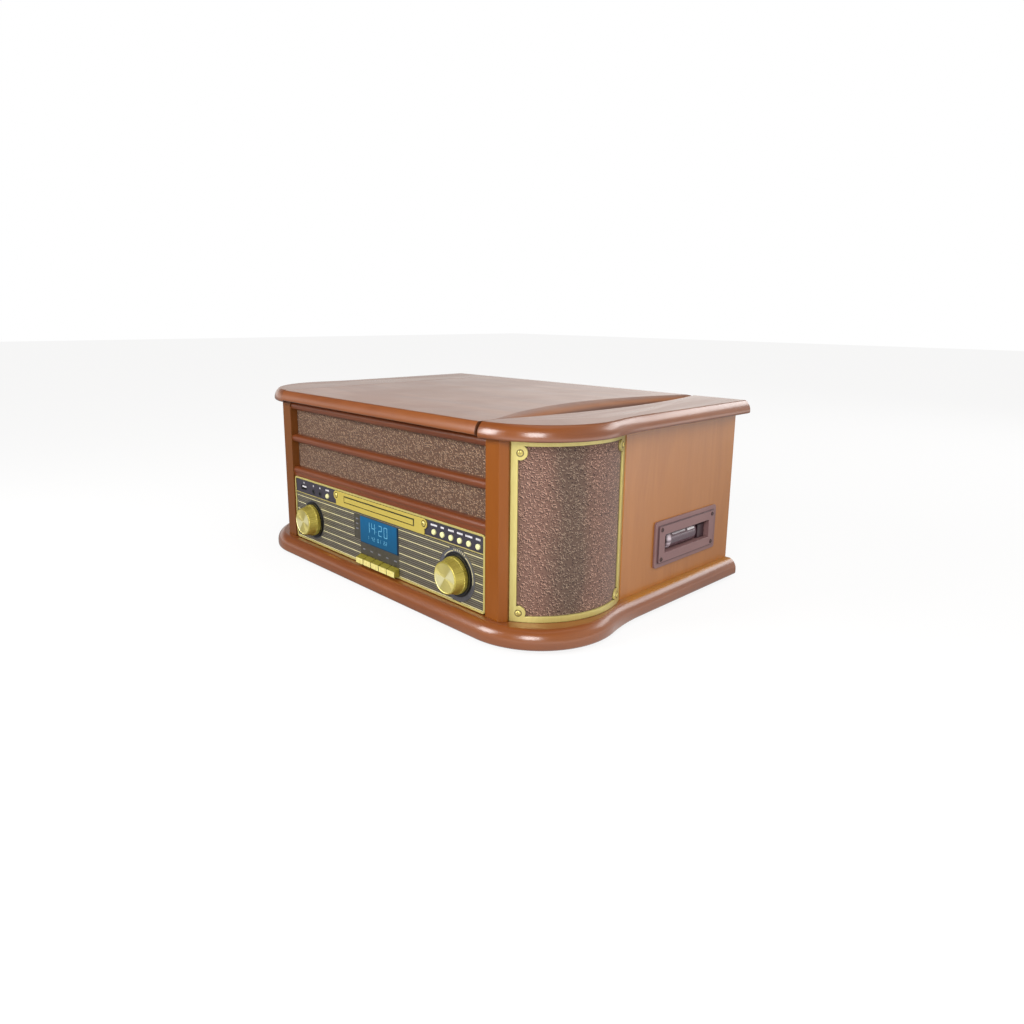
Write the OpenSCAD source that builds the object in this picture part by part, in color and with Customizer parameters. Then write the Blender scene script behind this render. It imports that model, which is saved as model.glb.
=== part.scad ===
// Wooden stereo music centre: record deck under a hinged lid, CD drawer, radio dial, side cassette slot.
// Origin at the middle of the footprint on the standing surface, +X right seen from the front, +Y back, +Z up.

/* [Cabinet] */
// Width across the side panels
body_w = 488.6; // [476:0.2:540]
// Depth from the front posts to the rear of the side panels
body_d = 339.7; // [334:0.1:400]
// Height of the walls between plinth and top
wall_h = 175.8; // [172:0.1:210]
// Thickness of the side panels
wall_t = 10; // [8:0.5:13]
// Thickness of the back panel
back_t = 6; // [4:0.5:8]
// Width of a front post's flat face
post_w = 17.9; // [15:0.1:20]
// Depth of a front post
post_d = 24; // [20:0.5:30]
// Height of the rubber feet
feet_h = 3; // [2:0.5:8]
// Radius of a rubber foot
foot_r = 11; // [8:0.5:16]

/* [Plinth moulding] */
// Height of the plinth
plinth_h = 18.8; // [18:0.1:24]
// Overhang of the plinth in front of the posts and beside the side panels
plinth_over = 14.7; // [12:0.1:18]
// How far the plinth's round corners swell past the side panels
plinth_bulge = 24.7; // [22:0.1:28]
// Radius of the plinth's round corners
plinth_lobe_r = 86.1; // [80:0.1:92]
// Radius of the hollow behind a plinth corner
plinth_cove_r = 204; // [180:1:230]

/* [Top moulding] */
// Thickness of the top boards
top_t = 15; // [14:0.5:20]
// Overhang of the side tops beside the side panels
top_over = 14.9; // [12:0.1:18]
// Overhang of the top behind the back panel
top_rear_over = 5.6; // [4.5:0.1:8]
// Overhang of the side tops in front of the posts
top_front_over = 10; // [7:0.1:13]
// Extra overhang of the lid's front edge
lid_front_extra = 2; // [0:0.1:4]
// How far the top's round corners swell past the side panels
top_bulge = 22.8; // [20:0.1:26]
// Radius of the top's round corners
top_lobe_r = 86.8; // [82:0.1:92]
// Radius of the hollow behind a top corner
top_cove_r = 273.5; // [220:1:320]
// Shadow gap under the lid's front edge
lid_shadow = 2.4; // [1:0.1:4]
// Depth of the finger groove along the right lid seam
groove_depth = 6; // [3:0.5:8]
// Length of the finger groove
groove_len = 344; // [200:1:360]
// Width of the finger groove on the lid
groove_lid_w = 42; // [15:1:60]
// Width of the finger groove on the side top
groove_side_w = 21; // [8:1:40]

/* [Round speaker corners] */
// Outer radius of the brass speaker frame
spk_r = 90; // [86:0.5:96]
// Direction of the frame's front edge, degrees from +X
spk_front_angle = -62.3; // [-66:0.1:-58]
// Thickness of the brass speaker frame
spk_frame_t = 2.4; // [1.5:0.1:4]
// Width of the frame's upright bars
spk_bar_w = 7; // [5:0.5:10]
// Height of the frame's curved bars
spk_bar_h = 6; // [4:0.5:9]
// Distance of a frame screw from the frame's edges
spk_screw_in = 9; // [8:0.5:12]
// Radius of the round ear about each frame screw
spk_ear_r = 7; // [5:0.5:9]
// Thickness of the curved cloth panel
spk_cloth_t = 2.6; // [1.5:0.1:4]
// Radius of the loudspeaker's basket
driver_r = 44; // [36:0.5:46]
// Depth of the loudspeaker
driver_d = 33; // [26:0.5:34]
// Height of the loudspeaker's centre above the plinth
driver_z = 78; // [70:0.5:82]

/* [Front cloth and rails] */
// Height of a wooden front rail
rail_h = 10; // [8:0.1:12]
// Depth of the cloth behind the posts' face
cloth_in = 9.6; // [8:0.1:13]
// Thickness of the cloth strips
cloth_t = 1; // [0.8:0.1:2]
// Thickness of the board behind the cloth
grille_board_t = 5; // [4:0.5:7]

/* [Dial] */
// Height of the brass dial bezel
dial_h = 80.4; // [80:0.1:84]
// Width of the bezel's brass rim
bezel_rim = 2.2; // [1.5:0.1:3.5]
// Depth of the dial plate behind the bezel's front
dial_in = 0.8; // [0.4:0.1:1.2]
// Thickness of the dial plate
dial_t = 2.5; // [2:0.1:3.5]
// Distance of a knob's axis from the dial's end
knob_in = 42; // [38:0.5:46]
// Height of the knobs' axes above the plinth
knob_z = 31; // [29:0.5:34]
// Radius of a knob's front
knob_front_r = 16.4; // [13:0.1:17]
// Radius of a knob's knurled base
knob_base_r = 19.4; // [17.5:0.1:20]
// Length of a knob in front of its collar
knob_len = 14.7; // [12:0.1:14.8]
// Radius of a knob's shaft
knob_shaft_r = 3; // [2.5:0.1:3.5]
// Radius of a round push button
button_r = 3; // [2.4:0.1:3.4]
// Spacing of the push buttons
button_pitch = 13.46; // [12:0.02:13.6]
// Height of the push buttons above the plinth
button_z = 67.6; // [66:0.1:70]
// Travel of a push button
button_travel = 1; // [0.5:0.1:1.1]
// Width of the display window
lcd_w = 72.6; // [60:0.2:76]
// Height of the display window
lcd_h = 30.6; // [26:0.2:31]
// Width of a piano key
key_w = 14; // [12:0.1:14.4]
// Gap between piano keys
key_gap = 1.2; // [0.8:0.1:1.6]
// How far the piano keys stand out
key_reach = 7.3; // [5:0.1:10]

/* [Disc drawer] */
// Width of the disc drawer
tray_w = 132.6; // [130:0.2:134]
// Height of the disc drawer
tray_h = 5.6; // [5:0.1:6.4]
// Length of the disc drawer
tray_len = 165; // [160:1:170]
// Travel of the disc drawer
tray_travel = 132; // [124:1:134]

/* [Cassette slot] */
// Width of the cassette bezel
tape_w = 120; // [112:0.5:126]
// Height of the cassette bezel
tape_h = 51; // [48:0.5:54]
// Width of the cassette opening
tape_open_w = 88; // [84:0.5:92]
// Height of the cassette opening
tape_open_h = 20.5; // [19.5:0.5:23]
// Length of the smoky flap
flap_w = 56; // [52:0.5:58]

/* [Record deck] */
// Depth from the closed lid's seat to the deck
well_depth = 52; // [50:0.5:54]
// Radius of the platter
platter_r = 138; // [125:0.5:140]
// Height of the platter's top above the deck
platter_rise = 9; // [8:0.1:10]
// Thickness of the platter mat
mat_t = 2; // [1:0.1:2.4]
// Radius of the record spindle
spindle_r = 3.55; // [3.4:0.01:3.58]
// Radius of the platter's belt hub
hub_r = 54; // [46:0.5:58]
// Radius of the motor pulley
pulley_r = 5; // [4:0.1:7]
// Distance from the tonearm's pivot to the stylus
arm_len = 212; // [206:0.5:214]
// Radius of the tonearm's tube
arm_tube_r = 3.2; // [2.5:0.1:4]

/* [Hidden] */
$fn = 48;

wood = "#a5623a";
brass = "#d8c873";
cloth_brown = "#73605a";
dark = "#33333a";

// Clearances: round fits, moving faces and the seam beside the lid
fit = 0.15;
gap = 0.3;
seam = 0.8;
eps = 0.01;

// Levels and datum planes
base_z = feet_h;
seat_z = base_z + plinth_h;
wall_z = seat_z + wall_h;
top_z = wall_z + top_t;
side_x = body_w / 2;
half_d = (plinth_over + body_d + top_rear_over) / 2;
face_y = plinth_over - half_d;
rear_y = face_y + body_d;
inner_rear_y = rear_y - back_t;
seam_x = side_x + top_bulge - top_lobe_r;
top_lobe_c = [seam_x, face_y - top_front_over + top_lobe_r];
plinth_lobe_c = [side_x + plinth_bulge - plinth_lobe_r, face_y - plinth_over + plinth_lobe_r];

// Front posts: flat face, then a facet that ends at the brass speaker frame
post_facet = [6, 6.6];
facet_end = [side_x - 38.6, face_y + post_facet.y];
post_in = facet_end.x - post_facet.x - post_w;
spk_start = facet_end + [-1.1, 3.2];
spk_c = spk_start - polar(spk_r, spk_front_angle);
spk_rear_angle = acos((side_x - 1 - spk_c.x) / spk_r);
spk_mid_angle = (spk_front_angle + spk_rear_angle) / 2;
spk_cloth_r = spk_r - spk_frame_t;
spk_top_gap = gap;

// Dial panel
panel_y = face_y + 1;
dial_w = 2 * (post_in - 1.8);
dial_z = seat_z + 0.8;
plate_y = panel_y + dial_in;
plate_rear_y = plate_y + dial_t;
corner_r = 4;
slot_z = seat_z + 70.7;
divider_z = seat_z + 61;
pad_z0 = divider_z + 1;
pad_z1 = dial_z + dial_h - bezel_rim;
cd_c = 2.6;
cd_half_w = 85;
cd_ear = [84, seat_z + 73.2];
cd_ear_r = 5.6;
cd_plate_t = 1.2;
tray_gap = 0.8;
buttons_c = 136.65;
knob_x = dial_w / 2 - knob_in;
knob_axis_z = seat_z + knob_z;
collar_r = knob_base_r + 2.2;
collar_y = panel_y - 0.5;
lcd_c = [3.9, seat_z + 42.1];
key_c = 3.9;
key_pitch = key_w + key_gap;
key_z0 = seat_z + 3;
key_root_h = 9;
key_tip_h = 6.5;
pcb_y = plate_rear_y + 11;
pcb_t = 1.6;

// Rails and cloth between the dial and the top
rail_x = post_in;
cloth_y = face_y + cloth_in;
grille_y = cloth_y + cloth_t;
rails_z0 = dial_z + dial_h + 2.2;
strip_h = (wall_z - rails_z0 - 3 * rail_h) / 2;

// Cassette slot on the right side
tape_c = [side_x, rear_y - 94.2, seat_z + 46.3];
tape_plate_t = 2.2;
tape_step = 1.6;
chute_wall = 2;
tape_face_x = side_x + tape_plate_t + tape_step;
flap_axis = [side_x - 1.5, tape_c.z + tape_open_h / 2 - 2.2];
flap_c_y = tape_c.y - 4;
tape_button_w = 13;
tape_button_y = tape_c.y + tape_open_w / 2 - tape_button_w / 2 - 1.5;
tape_button_travel = 5;

// Record deck
deck_z = wall_z - well_depth;
deck_t = 9;
recess_d = 5;
well_wall_t = 12;
well_x = seam_x - well_wall_t / 2;
ledge = 8;
platter_c = [-26, (face_y + rear_y) / 2 + 4];
platter_z = deck_z + platter_rise;
mat_z = platter_z + mat_t;
recess_z = deck_z - recess_d;
belt_t = 1;
motor_c = platter_c + polar(95, 135);
belt_z = recess_z + 2;
belt_h = 4;
arm_c = [well_x - 40, inner_rear_y - 48];
arm_z = mat_z + 12;
arm_rest_angle = -88;
gimbal_r = 11;

// Lid
lid_half = seam_x - seam / 2;
lid_z0 = wall_z + gap;
lid_front_y = face_y - top_front_over - lid_front_extra;
lid_rear_y = rear_y + top_rear_over;
groove_c_y = lid_rear_y - 159.3;
hinge_r = 2.5;
hinge_c = [rear_y + hinge_r + 0.6, wall_z - 0.1];
hinge_x = 110;
hinge_len = 48;
leaf_t = 1.2;
leaf_w = 24;

function polar(r, a) = [r * cos(a), r * sin(a)];
function arc(c, r, a0, a1, n) = [for (i = [0:n]) c + polar(r, a0 + (a1 - a0) * i / n)];

// Moulded edge seen in section: x = 0 at its furthest point, a small round below, a large crown above
function edge_section(t, crown_z, crown_r, tip_r, low_r) =
    let (turn = asin((t - tip_r - crown_z) / (crown_r - tip_r)))
    let (tip_c = [-crown_r, crown_z] + polar(crown_r - tip_r, turn))
    concat(
        arc([-low_r, low_r], low_r, -90, 0, 3),
        arc([-crown_r, crown_z], crown_r, 0, turn - 3, 6),
        arc(tip_c, tip_r, turn, 90, 3));

// Right half of a lobed outline, drawn in from its edge by inset; drawn anticlockwise from the rear
function lobed_outline(start_x, lobe_c, lobe_r, cove_r, side, end_y, inset) =
    let (turn = acos((side + cove_r - lobe_c.x) / (lobe_r + cove_r)))
    let (cove_c = lobe_c + polar(lobe_r + cove_r, turn))
    concat(
        [[start_x, end_y], [start_x, lobe_c.y - lobe_r + inset]],
        arc(lobe_c, lobe_r - inset, -90 + (start_x < lobe_c.x ? 0 : 1), turn, 26),
        arc(cove_c, cove_r + inset, 179 + turn, 180, 4),
        [[side - inset, end_y]]);

function mirrored_outline(half) = concat(
    [for (i = [1:len(half) - 1]) half[i]],
    [for (i = [len(half) - 1:-1:1]) [-half[i].x, half[i].y]]);

// Solid whose outline follows a moulded edge section upwards, one ring of points per section point
module moulded_board(rings, section) {
    n = len(rings[0]);
    last = len(rings) - 1;
    points = [for (k = [0:last]) for (q = rings[k]) [q.x, q.y, section[k].y]];
    walls = [for (k = [0:last - 1]) for (i = [0:n - 1])
        [k * n + i, (k + 1) * n + i, (k + 1) * n + (i + 1) % n, k * n + (i + 1) % n]];
    polyhedron(points, concat(
        [[for (i = [0:n - 1]) i]],
        walls,
        [[for (i = [n - 1:-1:0]) last * n + i]]));
}

module both_sides() {
    children();
    mirror([1, 0, 0])
        children();
}

module rounded_plate(w, h, r) {
    hull_x = w / 2 - r;
    hull_y = h / 2 - r;
    square([w, h - 2 * r], center = true);
    square([w - 2 * r, h], center = true);
    for (x = [-hull_x, hull_x])
        for (y = [-hull_y, hull_y])
            translate([x, y])
                circle(r);
}

// Places a front view drawing (x right, y up) so that it is extruded backwards from the plane y
module from_front(y, t) {
    translate([0, y + t, 0])
        rotate([90, 0, 0])
            linear_extrude(t)
                children();
}

// Cylinder along +Y from a front plane
module front_cylinder(x, y, z, r, len) {
    translate([x, y, z])
        rotate([-90, 0, 0])
            cylinder(r = r, h = len);
}

module plinth() {
    section = edge_section(plinth_h, 6.8, plinth_h - 6.2, 3, 3);
    color(wood)
        translate([0, 0, base_z])
            moulded_board(
                [for (p = section)
                    mirrored_outline(lobed_outline(0, plinth_lobe_c, plinth_lobe_r, plinth_cove_r,
                        side_x + plinth_over, rear_y, -p.x))],
                section);
}

foot_x = side_x - 34;
foot_y = [face_y + 40, rear_y - 30];

module rubber_feet() {
    color("#222222")
        for (x = [-foot_x, foot_x])
            for (y = foot_y)
                translate([x, y, 0])
                    cylinder(r1 = foot_r - 1, r2 = foot_r, h = feet_h);
}

module side_panel_outline() {
    joint_angle = spk_rear_angle + fit;
    outer_r = (side_x - spk_c.x) / cos(joint_angle);
    inner_r = (side_x - wall_t - spk_c.x) / cos(joint_angle);
    polygon([
        spk_c + polar(outer_r, joint_angle),
        [side_x, rear_y],
        [side_x - wall_t, rear_y],
        spk_c + polar(inner_r, joint_angle)]);
}

module side_panel_left() {
    color(wood)
        mirror([1, 0, 0])
            translate([0, 0, seat_z])
                linear_extrude(wall_h)
                    side_panel_outline();
}

module side_panel_right() {
    color(wood)
        difference() {
            translate([0, 0, seat_z])
                linear_extrude(wall_h)
                    side_panel_outline();
            translate([side_x - wall_t / 2, tape_c.y, tape_c.z])
                cube([wall_t * 2, chute_outer_w() + 1, chute_outer_h() + 1], center = true);
        }
}

module front_posts() {
    joint_angle = spk_front_angle - fit;
    seat_len = 14;
    color(wood)
        translate([0, 0, seat_z])
            both_sides()
                linear_extrude(wall_h)
                    polygon([
                        [post_in, face_y],
                        [facet_end.x - post_facet.x, face_y],
                        facet_end,
                        spk_c + polar(spk_r, joint_angle),
                        spk_c + polar(spk_r - seat_len, joint_angle),
                        [post_in + 16, face_y + post_d],
                        [post_in, face_y + post_d]]);
}

// Front rails with half-round noses: over the dial on a flat batten, between the cloth strips, under the top
module front_rails() {
    nose_r = rail_h / 2;
    batten_in = 1;
    color(wood)
        for (i = [0:2])
            translate([-rail_x, panel_y, rails_z0 + i * (rail_h + strip_h)])
                rotate([90, 0, 90])
                    linear_extrude(2 * rail_x)
                        intersection() {
                            union() {
                                translate([nose_r, nose_r])
                                    circle(nose_r);
                                translate([nose_r, 0])
                                    square(rail_h);
                            }
                            square([grille_y - panel_y, rail_h]);
                        }
    color(wood)
        translate([-rail_x, panel_y + batten_in, dial_z + dial_h])
            cube([2 * rail_x, grille_y - panel_y - batten_in, rails_z0 - dial_z - dial_h + nose_r]);
}

module grille_board() {
    color("#8a6a4a")
        translate([-rail_x, grille_y, rails_z0])
            cube([2 * rail_x, grille_board_t, wall_z - rails_z0]);
}

vent_w = 40;
vent_h = 3;
vent_pitch = 9;
rca_c = [120, seat_z + 34];
rca_pitch = 16;
gland_c = [-190, seat_z + 22];
gland_r = 5;

module back_panel() {
    board_x = side_x - wall_t;
    color("#6e5138")
        difference() {
            translate([-board_x, inner_rear_y, seat_z])
                cube([2 * board_x, back_t, wall_h]);
            for (x = [-170, -110])
                for (i = [0:5])
                    translate([x - vent_w / 2, inner_rear_y - 1, seat_z + 60 + i * vent_pitch])
                        cube([vent_w, back_t + 2, vent_h]);
            translate([rca_c.x - 20, inner_rear_y - 1, rca_c.y - 9])
                cube([40, back_t + 2, 18]);
            front_cylinder(gland_c.x, inner_rear_y - 1, gland_c.y, gland_r + fit, back_t + 2);
        }
}

// Shallow cutter whose curved floor rises away from the seam, drawn for the +X side
module groove_cutter(width) {
    half = groove_len / 2;
    steps = 24;
    floor_points = [for (i = [0:steps])
        let (t = 2 * i / steps - 1)
        [t * half, -groove_depth * (1 - t * t)]];
    translate([seam_x, groove_c_y, top_z])
        rotate([0, -atan(groove_depth / width), 0])
            translate([-seam, 0, 0])
                rotate([90, 0, 90])
                    linear_extrude(width * 1.2)
                        polygon(concat(floor_points, [[half, groove_depth * 3], [-half, groove_depth * 3]]));
}

module side_top(grooved) {
    section = edge_section(top_t, 2.6, top_t, 3, 2.6);
    difference() {
        translate([0, 0, wall_z])
            moulded_board(
                [for (p = section)
                    lobed_outline(seam_x + seam / 2, top_lobe_c, top_lobe_r, top_cove_r,
                        side_x + top_over, lid_rear_y, -p.x)],
                section);
        if (grooved)
            groove_cutter(groove_side_w);
    }
}

module side_top_left() {
    color(wood)
        mirror([1, 0, 0])
            side_top(false);
}

module side_top_right() {
    color(wood)
        side_top(true);
}

// Upright walls beside the record well, with the ledges that carry the deck
module well_walls() {
    wall_y = face_y + post_d;
    wall_bottom = deck_z - deck_t - ledge;
    color("#7a5535")
        both_sides() {
            translate([well_x, wall_y, wall_bottom])
                cube([well_wall_t, inner_rear_y - wall_y, wall_z - wall_bottom]);
            translate([well_x - ledge, wall_y, wall_bottom])
                cube([ledge + eps, inner_rear_y - wall_y, ledge]);
        }
}

spk_z0 = seat_z;
spk_h = wall_h - spk_top_gap;
spk_screws = [for (z = [spk_z0 + spk_screw_in, spk_z0 + spk_h - spk_screw_in - 3])
    for (a = [spk_front_angle + spk_screw_in / spk_r * 57.3, spk_rear_angle - spk_screw_in / spk_r * 57.3])
        [a, z]];

// Round shell between two radii and two directions, about the speaker corner's axis
module corner_shell(r0, r1, a0, a1, z0, h) {
    translate([spk_c.x, spk_c.y, z0])
        rotate([0, 0, a0])
            rotate_extrude(angle = a1 - a0, $fn = 128)
                translate([r0, 0])
                    square([r1 - r0, h]);
}

module radial_cylinder(a, z, r0, r1, r) {
    translate([spk_c.x, spk_c.y, z])
        rotate([0, 0, a])
            translate([r0, 0, 0])
                rotate([0, 90, 0])
                    cylinder(r = r, h = r1 - r0);
}

module speaker_frame() {
    bar_angle = spk_bar_w / spk_r * 180 / PI;
    r0 = spk_cloth_r + eps;
    difference() {
        union() {
            difference() {
                corner_shell(r0, spk_r, spk_front_angle, spk_rear_angle, spk_z0, spk_h);
                corner_shell(r0 - 2, spk_r + 2, spk_front_angle + bar_angle, spk_rear_angle - bar_angle,
                    spk_z0 + spk_bar_h, spk_h - 2 * spk_bar_h);
            }
            intersection() {
                corner_shell(r0, spk_r, spk_front_angle, spk_rear_angle, spk_z0, spk_h);
                for (s = spk_screws)
                    radial_cylinder(s[0], s[1], spk_r - 12, spk_r + 4, spk_ear_r);
            }
        }
        for (s = spk_screws)
            radial_cylinder(s[0], s[1], spk_r - 12, spk_r + 4, screw_r + fit);
    }
}

module speaker_frame_left() {
    color(brass)
        mirror([1, 0, 0])
            speaker_frame();
}

module speaker_frame_right() {
    color(brass)
        speaker_frame();
}

// Two flat strips behind the rails and a curved panel behind each brass frame
module cloth_panels() {
    color(cloth_brown) {
        for (i = [0, 1])
            translate([-rail_x, cloth_y, rails_z0 + rail_h + i * (rail_h + strip_h)])
                cube([2 * rail_x, cloth_t, strip_h]);
        both_sides()
            corner_shell(spk_cloth_r - spk_cloth_t, spk_cloth_r - 0.1, spk_front_angle + fit,
                spk_rear_angle - fit, spk_z0, spk_h);
    }
}

baffle_t = 8;
baffle_r = 58;
baffle_half = 48;
driver_hole_r = driver_r - 5;

module at_baffle() {
    translate([spk_c.x, spk_c.y, 0])
        rotate([0, 0, spk_mid_angle])
            children();
}

module speaker_baffles() {
    color("#8a6a4a")
        both_sides()
            at_baffle()
                difference() {
                    translate([baffle_r, -baffle_half, seat_z])
                        cube([baffle_t, 2 * baffle_half, wall_h - 3]);
                    translate([baffle_r - 1, 0, seat_z + driver_z])
                        rotate([0, 90, 0])
                            cylinder(r = driver_hole_r, h = baffle_t + 2);
                }
}

// Loudspeaker turned from one section: flange on the baffle, cone, basket and magnet behind
module speaker_drivers() {
    flange_t = 3;
    cone_r = driver_hole_r - 3;
    magnet_r = driver_r * 0.55;
    color("#2b2b2b")
        both_sides()
            at_baffle()
                translate([baffle_r + baffle_t, 0, seat_z + driver_z])
                    rotate([0, 90, 0])
                        rotate_extrude($fn = 64)
                            polygon([
                                [0, -14],
                                [cone_r * 0.35, -11],
                                [cone_r, 0],
                                [cone_r + 1, flange_t],
                                [driver_r, flange_t],
                                [driver_r, 0],
                                [driver_hole_r - 1, 0],
                                [magnet_r, -20],
                                [magnet_r, -driver_d],
                                [0, -driver_d]]);
}

module dial_bezel() {
    color(brass) {
        from_front(panel_y, dial_in + dial_t)
            difference() {
                translate([0, dial_z + dial_h / 2])
                    rounded_plate(dial_w, dial_h, corner_r);
                translate([0, dial_z + dial_h / 2])
                    rounded_plate(dial_w - 2 * bezel_rim, dial_h - 2 * bezel_rim, corner_r - bezel_rim);
            }
        for (s = [-1, 1]) {
            inner = cd_c + s * (cd_half_w + gap);
            outer = s * (dial_w / 2 - bezel_rim + eps);
            translate([min(inner, outer), plate_y - 0.6, divider_z])
                cube([abs(outer - inner), 0.6, 1]);
        }
    }
}

usb_x = -158.9;
jack_x = [-135.7, -120.2];
jack_z = seat_z + 67.2;
usb_z = seat_z + 69.2;
power_x = -102.7;
button_x = [for (i = [0:5]) buttons_c + (i - 2.5) * button_pitch];
usb_w = 13.2;
usb_h = 5.8;
jack_r = 3.2;
key_x = [for (i = [-2:2]) key_c + i * key_pitch];

module dial_plate() {
    inside_w = dial_w - 2 * bezel_rim;
    inside_h = dial_h - 2 * bezel_rim;
    pad_t = 0.3;
    keys_w = 5 * key_w + 4 * key_gap + 2 * gap;
    color(dark)
        difference() {
            union() {
                from_front(plate_y, dial_t)
                    translate([0, dial_z + dial_h / 2])
                        rounded_plate(inside_w, inside_h, corner_r - bezel_rim);
                for (s = [-1, 1]) {
                    inner = cd_c + s * (cd_half_w + 1.5);
                    outer = s * (inside_w / 2 - 1);
                    from_front(plate_y - pad_t, pad_t)
                        difference() {
                            translate([min(inner, outer), pad_z0])
                                square([abs(outer - inner), pad_z1 - pad_z0 - 1]);
                            translate([cd_c + s * cd_ear.x, cd_ear.y])
                                circle(cd_ear_r + 0.5);
                        }
                }
                for (s = [-1, 1])
                    front_cylinder(s * knob_x, collar_y, knob_axis_z, collar_r, plate_y - collar_y + eps);
            }
            for (x = concat(button_x, [power_x]))
                front_cylinder(x, plate_y - 2, seat_z + button_z, button_r + gap, dial_t + 4);
            for (s = [-1, 1])
                front_cylinder(s * knob_x, collar_y - 1, knob_axis_z, knob_shaft_r + gap, dial_t + 6);
            for (x = jack_x)
                front_cylinder(x, plate_y - 2, jack_z, jack_r + fit, dial_t + 4);
            translate([usb_x - usb_w / 2 - fit, plate_y - 2, usb_z - usb_h / 2 - fit])
                cube([usb_w + 2 * fit, dial_t + 4, usb_h + 2 * fit]);
            translate([lcd_c.x - lcd_w / 2 - fit, plate_y - 2, lcd_c.y - lcd_h / 2 - fit])
                cube([lcd_w + 2 * fit, dial_t + 4, lcd_h + 2 * fit]);
            translate([key_c - keys_w / 2, plate_y - 2, key_z0 - gap])
                cube([keys_w, dial_t + 4, key_root_h + 2 * gap]);
            translate([cd_c - tray_w / 2 - tray_gap - gap, plate_y - 2, slot_z - tray_h / 2 - tray_gap - gap])
                cube([tray_w + 2 * (tray_gap + gap), dial_t + 4, tray_h + 2 * (tray_gap + gap)]);
            for (s = [-1, 1])
                front_cylinder(cd_c + s * cd_ear.x, plate_y - 2, cd_ear.y, screw_r + fit, dial_t + 4);
        }
}

// Gold surround of the disc drawer, with a round ear and screw at each upper end
module cd_plate() {
    z0 = divider_z + gap;
    z1 = pad_z1 - gap;
    color(brass)
        translate([cd_c, 0, 0])
            from_front(plate_y - cd_plate_t, cd_plate_t)
                difference() {
                    union() {
                        translate([-cd_half_w, z0])
                            square([2 * cd_half_w, z1 - z0]);
                        for (s = [-1, 1])
                            translate([s * cd_ear.x, cd_ear.y])
                                circle(cd_ear_r);
                    }
                    translate([-tray_w / 2 - tray_gap, slot_z - tray_h / 2 - tray_gap])
                        square([tray_w + 2 * tray_gap, tray_h + 2 * tray_gap]);
                    for (s = [-1, 1])
                        translate([s * cd_ear.x, cd_ear.y])
                            circle(screw_r + fit);
                }
}

// Display: a clear window flush with the dial, on its wider module
module lcd_display() {
    color("#2a6a8c") {
        translate([lcd_c.x - lcd_w / 2, panel_y + 0.2, lcd_c.y - lcd_h / 2])
            cube([lcd_w, plate_rear_y - panel_y - 0.2 + eps, lcd_h]);
        translate([lcd_c.x - lcd_w / 2 - 4, plate_rear_y, lcd_c.y - lcd_h / 2 - 1])
            cube([lcd_w + 8, pcb_y - plate_rear_y, lcd_h + 2]);
    }
}

// One data socket and two 3.5 mm jacks, each let in from behind the dial
jack_bore_r = 1.8;
jack_len = pcb_y - plate_y;

module front_sockets() {
    shell = 0.5;
    color("#c9c9cf") {
        difference() {
            translate([usb_x - usb_w / 2, plate_y, usb_z - usb_h / 2])
                cube([usb_w, jack_len, usb_h]);
            translate([usb_x - usb_w / 2 + shell, plate_y - 1, usb_z - usb_h / 2 + shell])
                cube([usb_w - 2 * shell, jack_len - 1, usb_h - 2 * shell]);
        }
        for (x = jack_x)
            difference() {
                front_cylinder(x, plate_y - 0.6, jack_z, jack_r, jack_len);
                front_cylinder(x, plate_y - 1.6, jack_z, jack_bore_r, jack_len - 0.5);
            }
    }
}

screw_r = 1.3;
screw_head_r = 2.6;
screw_head_t = 1.2;

// Small dome-headed screws, drawn along +Z with the head above z = 0
module trim_screw(shank) {
    slot_w = 0.6;
    difference() {
        union() {
            intersection() {
                cylinder(r = screw_head_r, h = screw_head_t);
                translate([0, 0, screw_head_t - 4])
                    sphere(4);
            }
            translate([0, 0, -shank])
                cylinder(r = screw_r, h = shank + eps);
        }
        for (a = [0, 90])
            rotate([0, 0, a])
                translate([-1.5, -slot_w / 2, screw_head_t - 0.6])
                    cube([3, slot_w, 1]);
    }
}

tape_screw = [tape_w / 2 - 10, tape_h / 2 - 9];

module trim_screws() {
    color("#cdbb6a") {
        both_sides()
            for (s = spk_screws)
                translate([spk_c.x, spk_c.y, s[1]])
                    rotate([0, 0, s[0]])
                        translate([spk_r, 0, 0])
                            rotate([0, 90, 0])
                                trim_screw(spk_frame_t - 0.4);
        for (s = [-1, 1])
            translate([cd_c + s * cd_ear.x, plate_y - cd_plate_t, cd_ear.y])
                rotate([90, 0, 0])
                    trim_screw(cd_plate_t + dial_t);
        for (y = [-1, 1])
            for (z = [-1, 1])
                translate([tape_face_x, tape_c.y + y * tape_screw.x, tape_c.z + z * tape_screw.y])
                    rotate([0, 90, 0])
                        trim_screw(tape_plate_t + tape_step - 0.2);
    }
}

function chute_outer_w() = tape_open_w + 2 * chute_wall;
function chute_outer_h() = tape_open_h + 2 * chute_wall;

// Draws a side view (x back, y up) about the cassette slot's centre, extruded outward from the plane x
module from_side(x, t) {
    translate([x, tape_c.y, tape_c.z])
        rotate([90, 0, 90])
            linear_extrude(t)
                children();
}

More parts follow.
